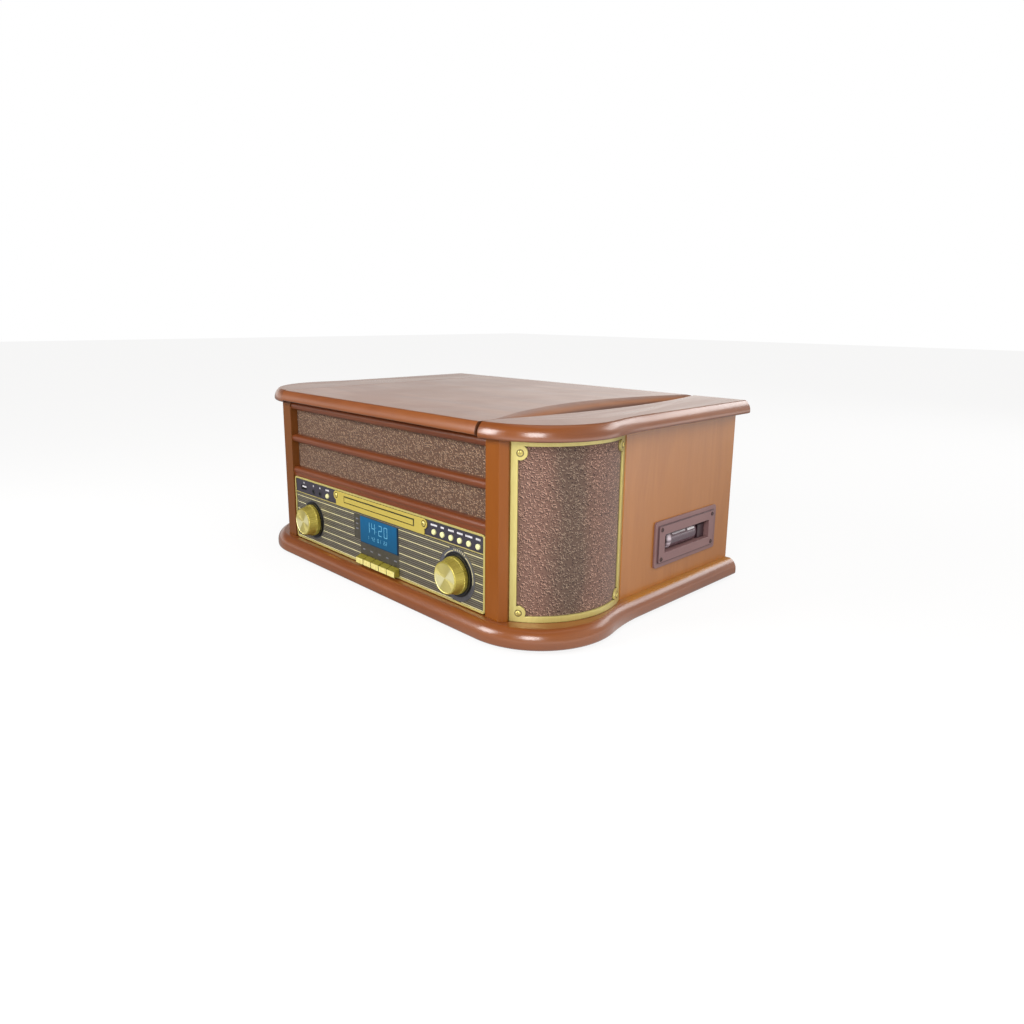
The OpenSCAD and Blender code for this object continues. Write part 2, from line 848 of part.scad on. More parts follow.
// Stepped plastic surround with a chute through the side panel
module cassette_bezel() {
    step_in = 5;
    chute_depth = wall_t + 4;
    color("#4a3a40")
        difference() {
            union() {
                from_side(side_x, tape_plate_t)
                    rounded_plate(tape_w, tape_h, 3);
                from_side(side_x + tape_plate_t - eps, tape_step + eps)
                    rounded_plate(tape_w - 2 * step_in, tape_h - 2 * step_in, 2.5);
                from_side(side_x - chute_depth, chute_depth + eps)
                    square([chute_outer_w(), chute_outer_h()], center = true);
            }
            from_side(side_x - chute_depth - 1, chute_depth + 12)
                square([tape_open_w, tape_open_h], center = true);
            for (y = [-1, 1])
                for (z = [-1, 1])
                    from_side(side_x - 1, 12)
                        translate([y * tape_screw.x, z * tape_screw.y])
                            circle(screw_r + fit);
            translate([flap_axis[0], tape_c.y, flap_axis[1]])
                rotate([90, 0, 0])
                    cylinder(r = 1 + fit, h = tape_open_w + 2.4, center = true);
        }
}

// Cassette mechanism: a box behind the chute, open towards it
deck_box = [96, 108, 46];

module cassette_deck() {
    box_x1 = side_x - wall_t - 4.2;
    color("#55555c")
        difference() {
            translate([box_x1 - deck_box.x, tape_c.y - deck_box.y / 2, seat_z])
                cube([deck_box.x, deck_box.y, deck_box.z + 14]);
            translate([box_x1 - 24, tape_c.y - tape_open_w / 2, tape_c.z - tape_open_h / 2])
                cube([25, tape_open_w, tape_open_h]);
            translate([box_x1 - 80, tape_c.y - 41, tape_c.z - tape_open_h / 2])
                cube([60, 67, 14]);
        }
}

// Curved smoky flap on a thin rod; swings inward under the cassette
module cassette_flap() {
    flap_h = tape_open_h - 4;
    bow = 14;
    color("#5a4650") {
        translate([flap_axis[0], tape_c.y, flap_axis[1]])
            rotate([90, 0, 0])
                cylinder(r = 1, h = tape_open_w + 2, center = true);
        translate([0, flap_c_y + flap_w / 2, 0])
            rotate([90, 0, 0])
                linear_extrude(flap_w)
                    intersection() {
                        translate([flap_axis[0] - 1.4, flap_axis[1] - flap_h])
                            square([8, flap_h + 0.4]);
                        difference() {
                            translate([flap_axis[0] - bow + 2.5, flap_axis[1] - flap_h / 2])
                                circle(bow);
                            translate([flap_axis[0] - bow + 0.5, flap_axis[1] - flap_h / 2])
                                circle(bow);
                        }
                    }
    }
}

module tape_button() {
    color("#4a3a40")
        translate([side_x - 20, tape_button_y - tape_button_w / 2, tape_c.z - tape_open_h / 2 + gap])
            cube([18, tape_button_w, tape_open_h - 5]);
}

drive_half = 76;
drive_len = 178;
drive_y = pcb_y + pcb_t + gap;
drive_under = 34;
drive_over = 10;

// Disc drive: closed case on two feet, with the slot that the drawer runs in
module cd_drive() {
    color("#8d8f96")
        difference() {
            union() {
                translate([cd_c - drive_half, drive_y, slot_z - drive_under])
                    cube([2 * drive_half, drive_len, drive_under + drive_over]);
                for (s = [-1, 1])
                    translate([cd_c + s * (drive_half - 9) - 4, drive_y + 20, seat_z])
                        cube([8, 130, slot_z - drive_under - seat_z + eps]);
            }
            translate([cd_c - tray_w / 2 - gap, drive_y - 1, slot_z - tray_h / 2 - gap])
                cube([tray_w + 2 * gap, drive_len - 6, tray_h + 2 * gap]);
        }
}

module cd_tray() {
    front_y = plate_y - cd_plate_t - 0.2;
    disc_r = 60.5;
    disc_y = front_y + 68;
    hole_r = 18;
    color("#d0c27a")
        translate([cd_c, 0, slot_z])
            difference() {
                translate([-tray_w / 2, front_y, -tray_h / 2])
                    cube([tray_w, tray_len, tray_h]);
                translate([0, disc_y, tray_h / 2 - 1.8])
                    cylinder(r = disc_r, h = 3, $fn = 96);
                translate([0, disc_y, -tray_h])
                    cylinder(r = hole_r, h = 2 * tray_h);
                translate([4 - hole_r, disc_y, -tray_h])
                    cube([2 * hole_r - 8, tray_len, 2 * tray_h]);
            }
}

switch_t = 3.5;
pot_r = 9;
pot_t = 7;

// Circuit board behind the dial with the switches and the two potentiometers
module control_board() {
    board_half = dial_w / 2 - 2.5;
    low_z = dial_z + 1;
    wing_z = slot_z - tray_h / 2 - 3;
    color("#2f5a3a")
        difference() {
            union() {
                translate([-board_half, pcb_y, low_z])
                    cube([2 * board_half, pcb_t, wing_z - low_z]);
                for (s = [-1, 1]) {
                    inner = cd_c + s * (tray_w / 2 + 4);
                    outer = s * board_half;
                    translate([min(inner, outer), pcb_y, wing_z - eps])
                        cube([abs(outer - inner), pcb_t, pad_z1 - wing_z]);
                }
                for (x = concat(button_x, [power_x]))
                    translate([x - 3, pcb_y - switch_t, seat_z + button_z - 3])
                        cube([6, switch_t + eps, 6]);
                for (x = key_x)
                    translate([x - 3, pcb_y - switch_t, key_z0 + key_root_h / 2 - 3])
                        cube([6, switch_t + eps, 6]);
                for (s = [-1, 1])
                    front_cylinder(s * knob_x, pcb_y - pot_t, knob_axis_z, pot_r, pot_t + eps);
            }
            for (s = [-1, 1])
                front_cylinder(s * knob_x, pcb_y - pot_t - 1, knob_axis_z, knob_shaft_r + fit, pot_t);
        }
}

// Main circuit board on four posts, with its heat sink and capacitors
module main_board() {
    board = [150, 90, pcb_t];
    corner = [-30, inner_rear_y - 110, seat_z];
    post_h = 8;
    color("#2f5a3a") {
        translate(corner + [0, 0, post_h])
            cube(board);
        for (x = [5, board.x - 5])
            for (y = [5, board.y - 5])
                translate(corner + [x, y, 0])
                    cylinder(r = 3, h = post_h + eps);
        for (i = [0:5])
            translate(corner + [20 + i * 6, 60, post_h + pcb_t - eps])
                cube([2, 22, 26]);
        translate(corner + [18, 60, post_h + pcb_t - eps])
            cube([36, 22, 4]);
        for (x = [80, 104, 128])
            translate(corner + [x, 40, post_h + pcb_t - eps])
                cylinder(r = 8, h = 24);
    }
}

// Mains transformer: laminated core, winding bobbin and mounting flange
module transformer() {
    core = [58, 30, 48];
    centre = [-180, inner_rear_y - 62, seat_z];
    color("#6a5a3a") {
        translate(centre + [-core.x / 2 - 12, -core.y / 2, 0])
            cube([core.x + 24, core.y, 2]);
        translate(centre + [-core.x / 2, -core.y / 2, 2 - eps])
            cube(core);
        translate(centre + [-18, -core.y / 2 - 9, 10])
            cube([36, core.y + 18, 32]);
    }
}

// Line-out sockets on their plate, and the bush of the mains lead
module rear_sockets() {
    plate = [48, 2, 26];
    color("#2b2b2b") {
        translate([rca_c.x - plate.x / 2, inner_rear_y - plate.y, rca_c.y - plate.z / 2])
            cube(plate);
        for (s = [-1, 1])
            difference() {
                front_cylinder(rca_c.x + s * rca_pitch / 2, inner_rear_y - eps, rca_c.y, 4.2, back_t + 3);
                front_cylinder(rca_c.x + s * rca_pitch / 2, inner_rear_y + 2, rca_c.y, 1.7, back_t + 3);
            }
        difference() {
            union() {
                front_cylinder(gland_c.x, inner_rear_y, gland_c.y, gland_r, back_t);
                front_cylinder(gland_c.x, rear_y, gland_c.y, gland_r + 2.5, 3);
                front_cylinder(gland_c.x, inner_rear_y - 3, gland_c.y, gland_r + 2.5, 3);
            }
            front_cylinder(gland_c.x, inner_rear_y - 5, gland_c.y, 3.2, back_t + 10);
        }
    }
}

bearing_r = 3;
bearing_len = 26;
motor_r = 17;
motor_t = 22;
rest_c = arm_c + polar(arm_len * 0.72, arm_rest_angle);

module deck_plate() {
    deck_y0 = grille_y + grille_board_t;
    bearing_z = recess_z - deck_t + recess_d - bearing_len + 4;
    color("#2c2a2c")
        difference() {
            union() {
                translate([-well_x, deck_y0, deck_z - deck_t])
                    cube([2 * well_x, inner_rear_y - deck_y0, deck_t]);
                translate([platter_c.x, platter_c.y, bearing_z])
                    cylinder(r = 7, h = deck_z - deck_t - bearing_z + eps);
                arm_rest();
            }
            translate([platter_c.x, platter_c.y, recess_z])
                cylinder(r = platter_r + 4, h = deck_t, $fn = 96);
            translate([platter_c.x, platter_c.y, bearing_z - 1])
                cylinder(r = bearing_r + fit, h = 60);
            translate([motor_c.x, motor_c.y, deck_z - deck_t - 1])
                cylinder(r = pulley_r + 4, h = deck_t);
            translate([switch_c.x, switch_c.y, deck_z - deck_t - 1])
                translate([-3 - gap, -14, 0])
                    cube([6 + 2 * gap, 28, deck_t + 2]);
        }
}

// Post that the tonearm rests on, with a lip on its outer side
module arm_rest() {
    saddle_w = 2 * arm_tube_r + 2 * gap;
    wall = 2.2;
    stem_h = arm_z - arm_tube_r - gap - deck_z;
    translate([rest_c.x, rest_c.y, deck_z - eps]) {
        cylinder(r = 5, h = stem_h - 2);
        translate([-saddle_w / 2, -4, stem_h - 4])
            cube([saddle_w + wall, 8, 4 + eps]);
        translate([saddle_w / 2, -4, stem_h - eps])
            cube([wall, 8, arm_tube_r * 1.6]);
    }
}

switch_c = [well_x - 14, face_y + 62];

module speed_switch() {
    color("#b9b9bf")
        translate([switch_c.x, switch_c.y, 0]) {
            translate([-3, -4 - 8, deck_z - deck_t + 1])
                cube([6, 8, deck_t + 3]);
            translate([-5.5, -6 - 8, deck_z + gap])
                cube([11, 12, 2]);
        }
}

module turntable_motor() {
    color("#9a9aa0")
        difference() {
            translate([motor_c.x, motor_c.y, deck_z - deck_t - motor_t])
                cylinder(r = motor_r, h = motor_t);
            translate([motor_c.x, motor_c.y, deck_z - deck_t - 10])
                cylinder(r = 1 + fit, h = 12);
        }
}

module motor_pulley() {
    color("#c8b46a")
        translate([motor_c.x, motor_c.y, 0]) {
            translate([0, 0, deck_z - deck_t - 9])
                cylinder(r = 1, h = 12);
            translate([0, 0, deck_z - deck_t + gap])
                cylinder(r = pulley_r, h = belt_z + belt_h + 1 - deck_z + deck_t - gap);
        }
}

// Flat belt round the platter's hub and the pulley, drawn as an open-belt path
function belt_path(grow) =
    let (span = norm(motor_c - platter_c))
    let (lean = acos((hub_r - pulley_r) / span))
    let (course = atan2(motor_c.y - platter_c.y, motor_c.x - platter_c.x))
    concat(
        arc(platter_c, hub_r + grow, course + lean, course + 360 - lean, 60),
        arc(motor_c, pulley_r + grow, course - lean, course + lean, 16));

module drive_belt() {
    slack = gap + 0.1;
    color("#1c1c1c")
        translate([0, 0, belt_z])
            linear_extrude(belt_h)
                difference() {
                    polygon(belt_path(slack + belt_t));
                    polygon(belt_path(slack));
                }
}

// Platter turned from one section: rim, web, belt hub and bearing shaft with the record spindle
module platter() {
    web = 3;
    rim_w = 4;
    hub_w = 3;
    lift = 1.2;
    collar = 0.8;
    color("#3a3a3e")
        translate([platter_c.x, platter_c.y, 0])
            rotate_extrude($fn = 128)
                polygon([
                    [0, recess_z - bearing_len],
                    [bearing_r, recess_z - bearing_len],
                    [bearing_r, recess_z + lift],
                    [9, recess_z + lift],
                    [9, platter_z - web],
                    [hub_r - hub_w, platter_z - web],
                    [hub_r - hub_w, recess_z + lift],
                    [hub_r, recess_z + lift],
                    [hub_r, platter_z - web],
                    [platter_r - rim_w, platter_z - web],
                    [platter_r - rim_w, recess_z + lift],
                    [platter_r, recess_z + lift],
                    [platter_r, platter_z - 1],
                    [platter_r - 1, platter_z],
                    [spindle_r + collar, platter_z],
                    [spindle_r + collar, mat_z],
                    [spindle_r, mat_z],
                    [spindle_r, mat_z + 8],
                    [spindle_r - 1.5, mat_z + 9.5],
                    [0, mat_z + 9.5]]);
}

module platter_mat() {
    color("#1f1f22")
        translate([platter_c.x, platter_c.y, platter_z])
            difference() {
                cylinder(r = platter_r - 3, h = mat_t, $fn = 128);
                translate([0, 0, -1])
                    cylinder(r = spindle_r + 0.8 + gap, h = mat_t + 2);
            }
}

cue_c = [arm_c.x + 14, arm_c.y - 34];
cue_z = arm_z - arm_tube_r - 3;
cue_r = 2.2;

// Round base of the tonearm, with the post that carries the lift lever
module tonearm_base() {
    post_w = 6;
    color("#2c2a2c")
        difference() {
            union() {
                translate([arm_c.x, arm_c.y, deck_z]) {
                    cylinder(r = 20, h = 4);
                    cylinder(r = 12, h = arm_z - deck_z - gimbal_r - 3);
                }
                translate([cue_c.x - post_w / 2, cue_c.y - 5, deck_z])
                    cube([post_w, arm_c.y - cue_c.y, 4]);
                translate([cue_c.x - post_w / 2, cue_c.y - 5, deck_z])
                    cube([post_w, 10, cue_z - deck_z + 5]);
            }
            translate([arm_c.x, arm_c.y, deck_z + 2])
                cylinder(r = 4 + fit, h = 60);
            translate([cue_c.x, cue_c.y, cue_z])
                rotate([0, 90, 0])
                    cylinder(r = cue_r + fit, h = 2 * post_w, center = true);
        }
}

pivot_r = 1.5;
gimbal_in = 7;

// Turning fork of the tonearm, with the pins that the arm tilts on
module arm_gimbal() {
    fork_z = arm_z - gimbal_r - 3 + gap;
    cheek = 3;
    color("#a9a9b0")
        translate([arm_c.x, arm_c.y, 0])
            rotate([0, 0, arm_rest_angle]) {
                translate([0, 0, deck_z + 3])
                    cylinder(r = 4, h = fork_z - deck_z - 3 + eps);
                translate([0, 0, fork_z])
                    cylinder(r = gimbal_r, h = 3);
                for (s = [-1, 1]) {
                    translate([-5, s * (gimbal_in + cheek / 2) - cheek / 2, fork_z])
                        cube([10, cheek, arm_z - fork_z + 5]);
                    translate([0, s * (gimbal_in + 0.5), arm_z])
                        rotate([s * 90, 0, 0])
                            cylinder(r = pivot_r, h = 3.4);
                }
            }
}

// Straight tonearm with counterweight, pivot block, headshell, cartridge and stylus
module tonearm() {
    head = [34, 17, 4];
    block = [16, 2 * (gimbal_in - gap), 9];
    color("#b9b9bf")
        translate([arm_c.x, arm_c.y, arm_z])
            rotate([0, 0, arm_rest_angle]) {
                difference() {
                    union() {
                        translate([-block.x / 2, -block.y / 2, -block.z / 2])
                            cube(block);
                        translate([-34, 0, 0])
                            rotate([0, 90, 0])
                                cylinder(r = arm_tube_r, h = arm_len + 14);
                    }
                    rotate([90, 0, 0])
                        cylinder(r = pivot_r + fit, h = 40, center = true);
                }
                translate([-44, 0, 0])
                    rotate([0, 90, 0])
                        cylinder(r = 10, h = 20);
                translate([arm_len - 24, -head.y / 2, -head.z / 2])
                    cube(head);
                translate([arm_len - 12, -5, -8])
                    cube([16, 10, 8]);
                translate([arm_len, 0, -11.5])
                    cylinder(r1 = 0.5, r2 = 1.4, h = 4);
            }
}

// Lift lever: an axle through its post, a finger under the resting arm and a handle outside
module cue_lever() {
    finger_len = 6;
    axle_in = cue_c.x - arm_c.x + 4;
    handle_x = 7;
    color("#b9b9bf")
        translate([cue_c.x, cue_c.y, cue_z]) {
            translate([-axle_in, 0, 0])
                rotate([0, 90, 0])
                    cylinder(r = cue_r, h = axle_in + handle_x);
            translate([-axle_in, -finger_len, -1])
                cube([6, finger_len, 2]);
            translate([handle_x - 3, -28, -1.5])
                cube([3, 28, 3]);
            translate([handle_x - 5, -34, -2])
                cube([7, 6.5, 4]);
        }
}

module hinge_knuckle(x, len) {
    translate([x, hinge_c[0], hinge_c[1]])
        rotate([0, 90, 0])
            cylinder(r = hinge_r, h = len);
}

hinge_pin_r = 1.2;
knuckle = hinge_len / 3;

// Fixed hinge leaves on the back panel, each with its middle knuckle and pin
module hinge_leaves() {
    color("#c2a95a")
        for (x = [-hinge_x, hinge_x]) {
            translate([x - hinge_len / 2, rear_y, hinge_c[1] - leaf_w])
                cube([hinge_len, leaf_t, leaf_w - hinge_r - gap]);
            translate([x - knuckle / 2 + gap, rear_y, hinge_c[1] - leaf_w])
                cube([knuckle - 2 * gap, leaf_t, leaf_w]);
            hinge_knuckle(x - knuckle / 2 + gap, knuckle - 2 * gap);
            translate([x - hinge_len / 2 + 1, hinge_c[0], hinge_c[1]])
                rotate([0, 90, 0])
                    cylinder(r = hinge_pin_r, h = hinge_len - 2);
        }
}

// Moving hinge leaves let into the underside of the lid
module lid_leaves() {
    color("#c2a95a")
        for (x = [-hinge_x, hinge_x])
            difference() {
                union() {
                    for (s = [-1, 1])
                        hinge_knuckle(x + s * knuckle - knuckle / 2, knuckle);
                    translate([x - hinge_len / 2, hinge_c[0] - leaf_w, lid_z0])
                        cube([hinge_len, leaf_w, leaf_t]);
                }
                translate([x - knuckle / 2, hinge_c[0] - hinge_r - 2 * gap, lid_z0 - 10])
                    cube([knuckle, 4 * hinge_r, 20]);
                translate([x - hinge_len, hinge_c[0], hinge_c[1]])
                    rotate([0, 90, 0])
                        cylinder(r = hinge_pin_r + fit, h = 2 * hinge_len);
            }
}

module lid() {
    edge_t = top_t - lid_shadow;
    edge_depth = 34;
    slab_y0 = lid_front_y + edge_depth - 4;
    color(wood)
        difference() {
            union() {
                translate([-lid_half, lid_front_y, top_z - edge_t])
                    rotate([90, 0, 90])
                        linear_extrude(2 * lid_half)
                            mirror([1, 0])
                                polygon(concat(
                                    [[-edge_depth, 0]],
                                    edge_section(edge_t, 2, edge_t + 1.5, 3, 2),
                                    [[-edge_depth, edge_t]]));
                translate([-lid_half, slab_y0, lid_z0])
                    cube([2 * lid_half, lid_rear_y - slab_y0, top_z - lid_z0]);
            }
            translate([2 * seam_x, 0, 0])
                mirror([1, 0, 0])
                    groove_cutter(groove_lid_w);
            for (x = [-hinge_x, hinge_x]) {
                translate([x - hinge_len / 2, hinge_c[0] - leaf_w, lid_z0 - 1])
                    cube([hinge_len, leaf_w, leaf_t + 1]);
                translate([x - hinge_len / 2 - gap, hinge_c[0] - hinge_r - gap, lid_z0 - 1])
                    cube([hinge_len + 2 * gap, 20, 1 + hinge_r + gap]);
            }
        }
}

// Knob turned about the front-to-back axis: shaft, knurled base, tapered body and dished face
module knob(x) {
    teeth = 72;
    base_t = 4.5;
    step = 360 / teeth;
    knurl = [for (i = [0:teeth - 1])
        for (h = [0, 1])
            polar(knob_base_r - 0.4 * h, (i + h / 2) * step)];
    color(brass)
        translate([x, collar_y - gap, knob_axis_z])
            rotate([90, 0, 0]) {
                linear_extrude(base_t)
                    polygon(knurl);
                translate([0, 0, base_t - eps])
                    rotate_extrude($fn = 96)
                        polygon([
                            [0, 0],
                            [knob_base_r - 0.6, 0],
                            [knob_front_r + 0.6, knob_len - base_t - 0.8],
                            [knob_front_r, knob_len - base_t],
                            [knob_front_r - 1, knob_len - base_t],
                            [0, knob_len - base_t - 1]]);
                translate([0, 0, -shaft_len()])
                    cylinder(r = knob_shaft_r, h = shaft_len() + eps);
            }
}

function shaft_len() = pcb_y - collar_y - 2.4;

module knob_volume() {
    knob(knob_x);
}

module knob_tuning() {
    knob(-knob_x);
}

// Round push button with a dome face, a retaining flange behind the plate and a stem to its switch
module push_button(x) {
    reach = 2.2;
    flange_t = 1;
    stem_end = pcb_y - switch_t - button_travel - 0.2;
    color("#e2d59a")
        translate([x, 0, seat_z + button_z])
            rotate([-90, 0, 0]) {
                translate([0, 0, plate_y - reach])
                    rotate_extrude()
                        polygon(concat(
                            [[0, reach + dial_t + gap + flange_t]],
                            [[button_r, reach + dial_t + gap + flange_t]],
                            [[button_r, 0.8]],
                            [[button_r - 0.8, 0.1]],
                            [[0, 0]]));
                translate([0, 0, plate_rear_y + gap])
                    cylinder(r = button_r + 1.2, h = flange_t);
                translate([0, 0, plate_rear_y + gap])
                    cylinder(r = 1.6, h = stem_end - plate_rear_y - gap);
            }
}

module power_button() {
    push_button(power_x);
}

// Piano key seen from the side: root at the plate, sloping top, blunt tip and a catch behind the plate
module piano_key(x) {
    catch_t = 1.2;
    stem_end = pcb_y - switch_t - button_travel - 0.2;
    root_y = plate_rear_y + gap;
    tip_y = plate_y - key_reach;
    color("#d8c873")
        translate([x - key_w / 2, 0, 0])
            rotate([90, 0, 90])
                linear_extrude(key_w)
                    polygon([
                        [tip_y, key_z0],
                        [root_y, key_z0],
                        [root_y, key_z0 - 1],
                        [root_y + catch_t, key_z0 - 1],
                        [root_y + catch_t, key_z0 + 2],
                        [stem_end, key_z0 + 2],
                        [stem_end, key_z0 + key_root_h - 2],
                        [root_y + catch_t, key_z0 + key_root_h - 2],
                        [root_y + catch_t, key_z0 + key_root_h + 1],
                        [root_y, key_z0 + key_root_h + 1],
                        [root_y, key_z0 + key_root_h],
                        [plate_y, key_z0 + key_root_h],
                        [tip_y, key_z0 + key_tip_h]]);
}

plinth();
rubber_feet();
side_panel_left();
side_panel_right();
front_posts();
front_rails();
grille_board();
back_panel();
side_top_left();
side_top_right();
well_walls();
speaker_frame_left();
speaker_frame_right();
cloth_panels();
speaker_baffles();
speaker_drivers();
dial_bezel();
dial_plate();
cd_plate();
lcd_display();
front_sockets();
trim_screws();
cassette_bezel();
cassette_deck();
cd_drive();
control_board();
main_board();
transformer();
rear_sockets();
deck_plate();
turntable_motor();
drive_belt();
tonearm_base();
hinge_leaves();
lid();
lid_leaves();
platter();
platter_mat();
motor_pulley();
arm_gimbal();
tonearm();
cue_lever();
speed_switch();
cd_tray();
knob_volume();
knob_tuning();
power_button();
push_button(button_x[0]);  // button_1
push_button(button_x[1]);  // button_2
push_button(button_x[2]);  // button_3
push_button(button_x[3]);  // button_4
push_button(button_x[4]);  // button_5
push_button(button_x[5]);  // button_6
piano_key(key_x[0]);  // key_1
piano_key(key_x[1]);  // key_2
piano_key(key_x[2]);  // key_3
piano_key(key_x[3]);  // key_4
piano_key(key_x[4]);  // key_5
cassette_flap();
tape_button();
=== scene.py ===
import math

import bmesh
import bpy
from mathutils import Matrix, Vector


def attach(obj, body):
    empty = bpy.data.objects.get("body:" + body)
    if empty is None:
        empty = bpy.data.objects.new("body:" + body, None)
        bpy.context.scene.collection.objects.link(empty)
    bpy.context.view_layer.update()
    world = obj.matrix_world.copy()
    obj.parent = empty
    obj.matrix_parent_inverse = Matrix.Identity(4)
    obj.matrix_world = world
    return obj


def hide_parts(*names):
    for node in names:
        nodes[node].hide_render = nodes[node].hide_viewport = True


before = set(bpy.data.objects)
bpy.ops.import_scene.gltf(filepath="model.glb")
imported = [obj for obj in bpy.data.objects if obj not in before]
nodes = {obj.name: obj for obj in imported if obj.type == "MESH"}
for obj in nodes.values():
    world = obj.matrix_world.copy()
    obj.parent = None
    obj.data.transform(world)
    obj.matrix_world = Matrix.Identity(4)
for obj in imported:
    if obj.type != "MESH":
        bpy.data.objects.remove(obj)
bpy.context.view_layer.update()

MM = 0.001

# Main sizes of the cabinet in millimetres, as in the part's source
FEET_H, PLINTH_H, WALL_H, TOP_T = 3.0, 18.8, 175.8, 15.0
SEAT_Z = FEET_H + PLINTH_H
WALL_Z = SEAT_Z + WALL_H
TOP_Z = WALL_Z + TOP_T
SIDE_X, REAR_Y = 244.3, 174.4
SEAM_X, SEAM = 180.3, 0.8
LID_FRONT_Y, LID_REAR_Y = -177.3, 180.0
GROOVE_DEPTH, GROOVE_LEN = 6.0, 344.0
GROOVE_LID_W, GROOVE_SIDE_W = 42.0, 21.0
GROOVE_Y = 20.7
SPK_C, CLOTH_R, CLOTH_T = (162.76, -75.81), 87.5, 2.5
SPK_A0, SPK_A1 = -62.15, 26.3
CLOTH_TOP_Z = 197.25
STRIP_HALF_W, STRIP_Y = 181.7, (-155.7, -154.75)
PLATE_Y, FIELD_Y = -163.5, -163.8
KNOB_X, KNOB_Y, KNOB_Z = 138.0, -165.1, 52.8
DIVIDER_Z = 82.8
BUTTON_X, BUTTON_PITCH, KEY_PITCH = 103.0, 13.46, 15.2
LCD_C, LCD_W, LCD_H, LCD_Y = (3.9, 63.9), 72.6, 30.6, -164.1
DRAWER, DRAWER_Y = (-64.5, 69.7, 88.9, 96.1), -164.7
TAPE_C, TAPE_HALF, STEP_IN = (80.2, 68.1), (60.0, 25.5), 5.0
FRAME_SCREWS = [(side * x, y, z) for side in (-1, 1)
                for x, y in ((212.3, -150.9), (246.9, -43.85)) for z in (30.8, 185.0)]
PLATE_SCREWS = [(86.6, -164.7, 95.0), (-81.4, -164.7, 95.0)]


def polar(centre, r, degrees):
    """The point at a radius and an angle about a centre."""
    a = math.radians(degrees)
    return (centre[0] + r * math.cos(a), centre[1] + r * math.sin(a))


def arc(centre, r, a0, a1, n):
    """Points along an arc from one angle to another, in n steps."""
    return [polar(centre, r, a0 + (a1 - a0) * i / n) for i in range(n + 1)]


def rgb(r, g, b):
    """An sRGB colour of 0 to 255 as linear RGBA."""
    def linear(c):
        c /= 255
        return c / 12.92 if c <= 0.04045 else ((c + 0.055) / 1.055) ** 2.4
    return (linear(r), linear(g), linear(b), 1.0)


# Shader nodes and materials
def feed(tree, socket, value):
    """Links a socket to another one, or sets its value."""
    if isinstance(value, bpy.types.NodeSocket):
        tree.links.new(value, socket)
    else:
        socket.default_value = value


def tree_node(tree, kind, inputs=None, **settings):
    """Adds a shader node; its settings are made before its inputs are fed."""
    n = tree.nodes.new("ShaderNode" + kind)
    for key, value in settings.items():
        setattr(n, key, value)
    for key, value in (inputs or {}).items():
        feed(tree, n.inputs[key], value)
    return n


def math_node(tree, operation, a, b):
    return tree_node(tree, "Math", {0: a, 1: b}, operation=operation).outputs[0]


def map_range(tree, value, x0, x1, y0, y1, kind="SMOOTHSTEP"):
    names = {"Value": value, "From Min": x0, "From Max": x1, "To Min": y0, "To Max": y1}
    return tree_node(tree, "MapRange", names, interpolation_type=kind).outputs[0]


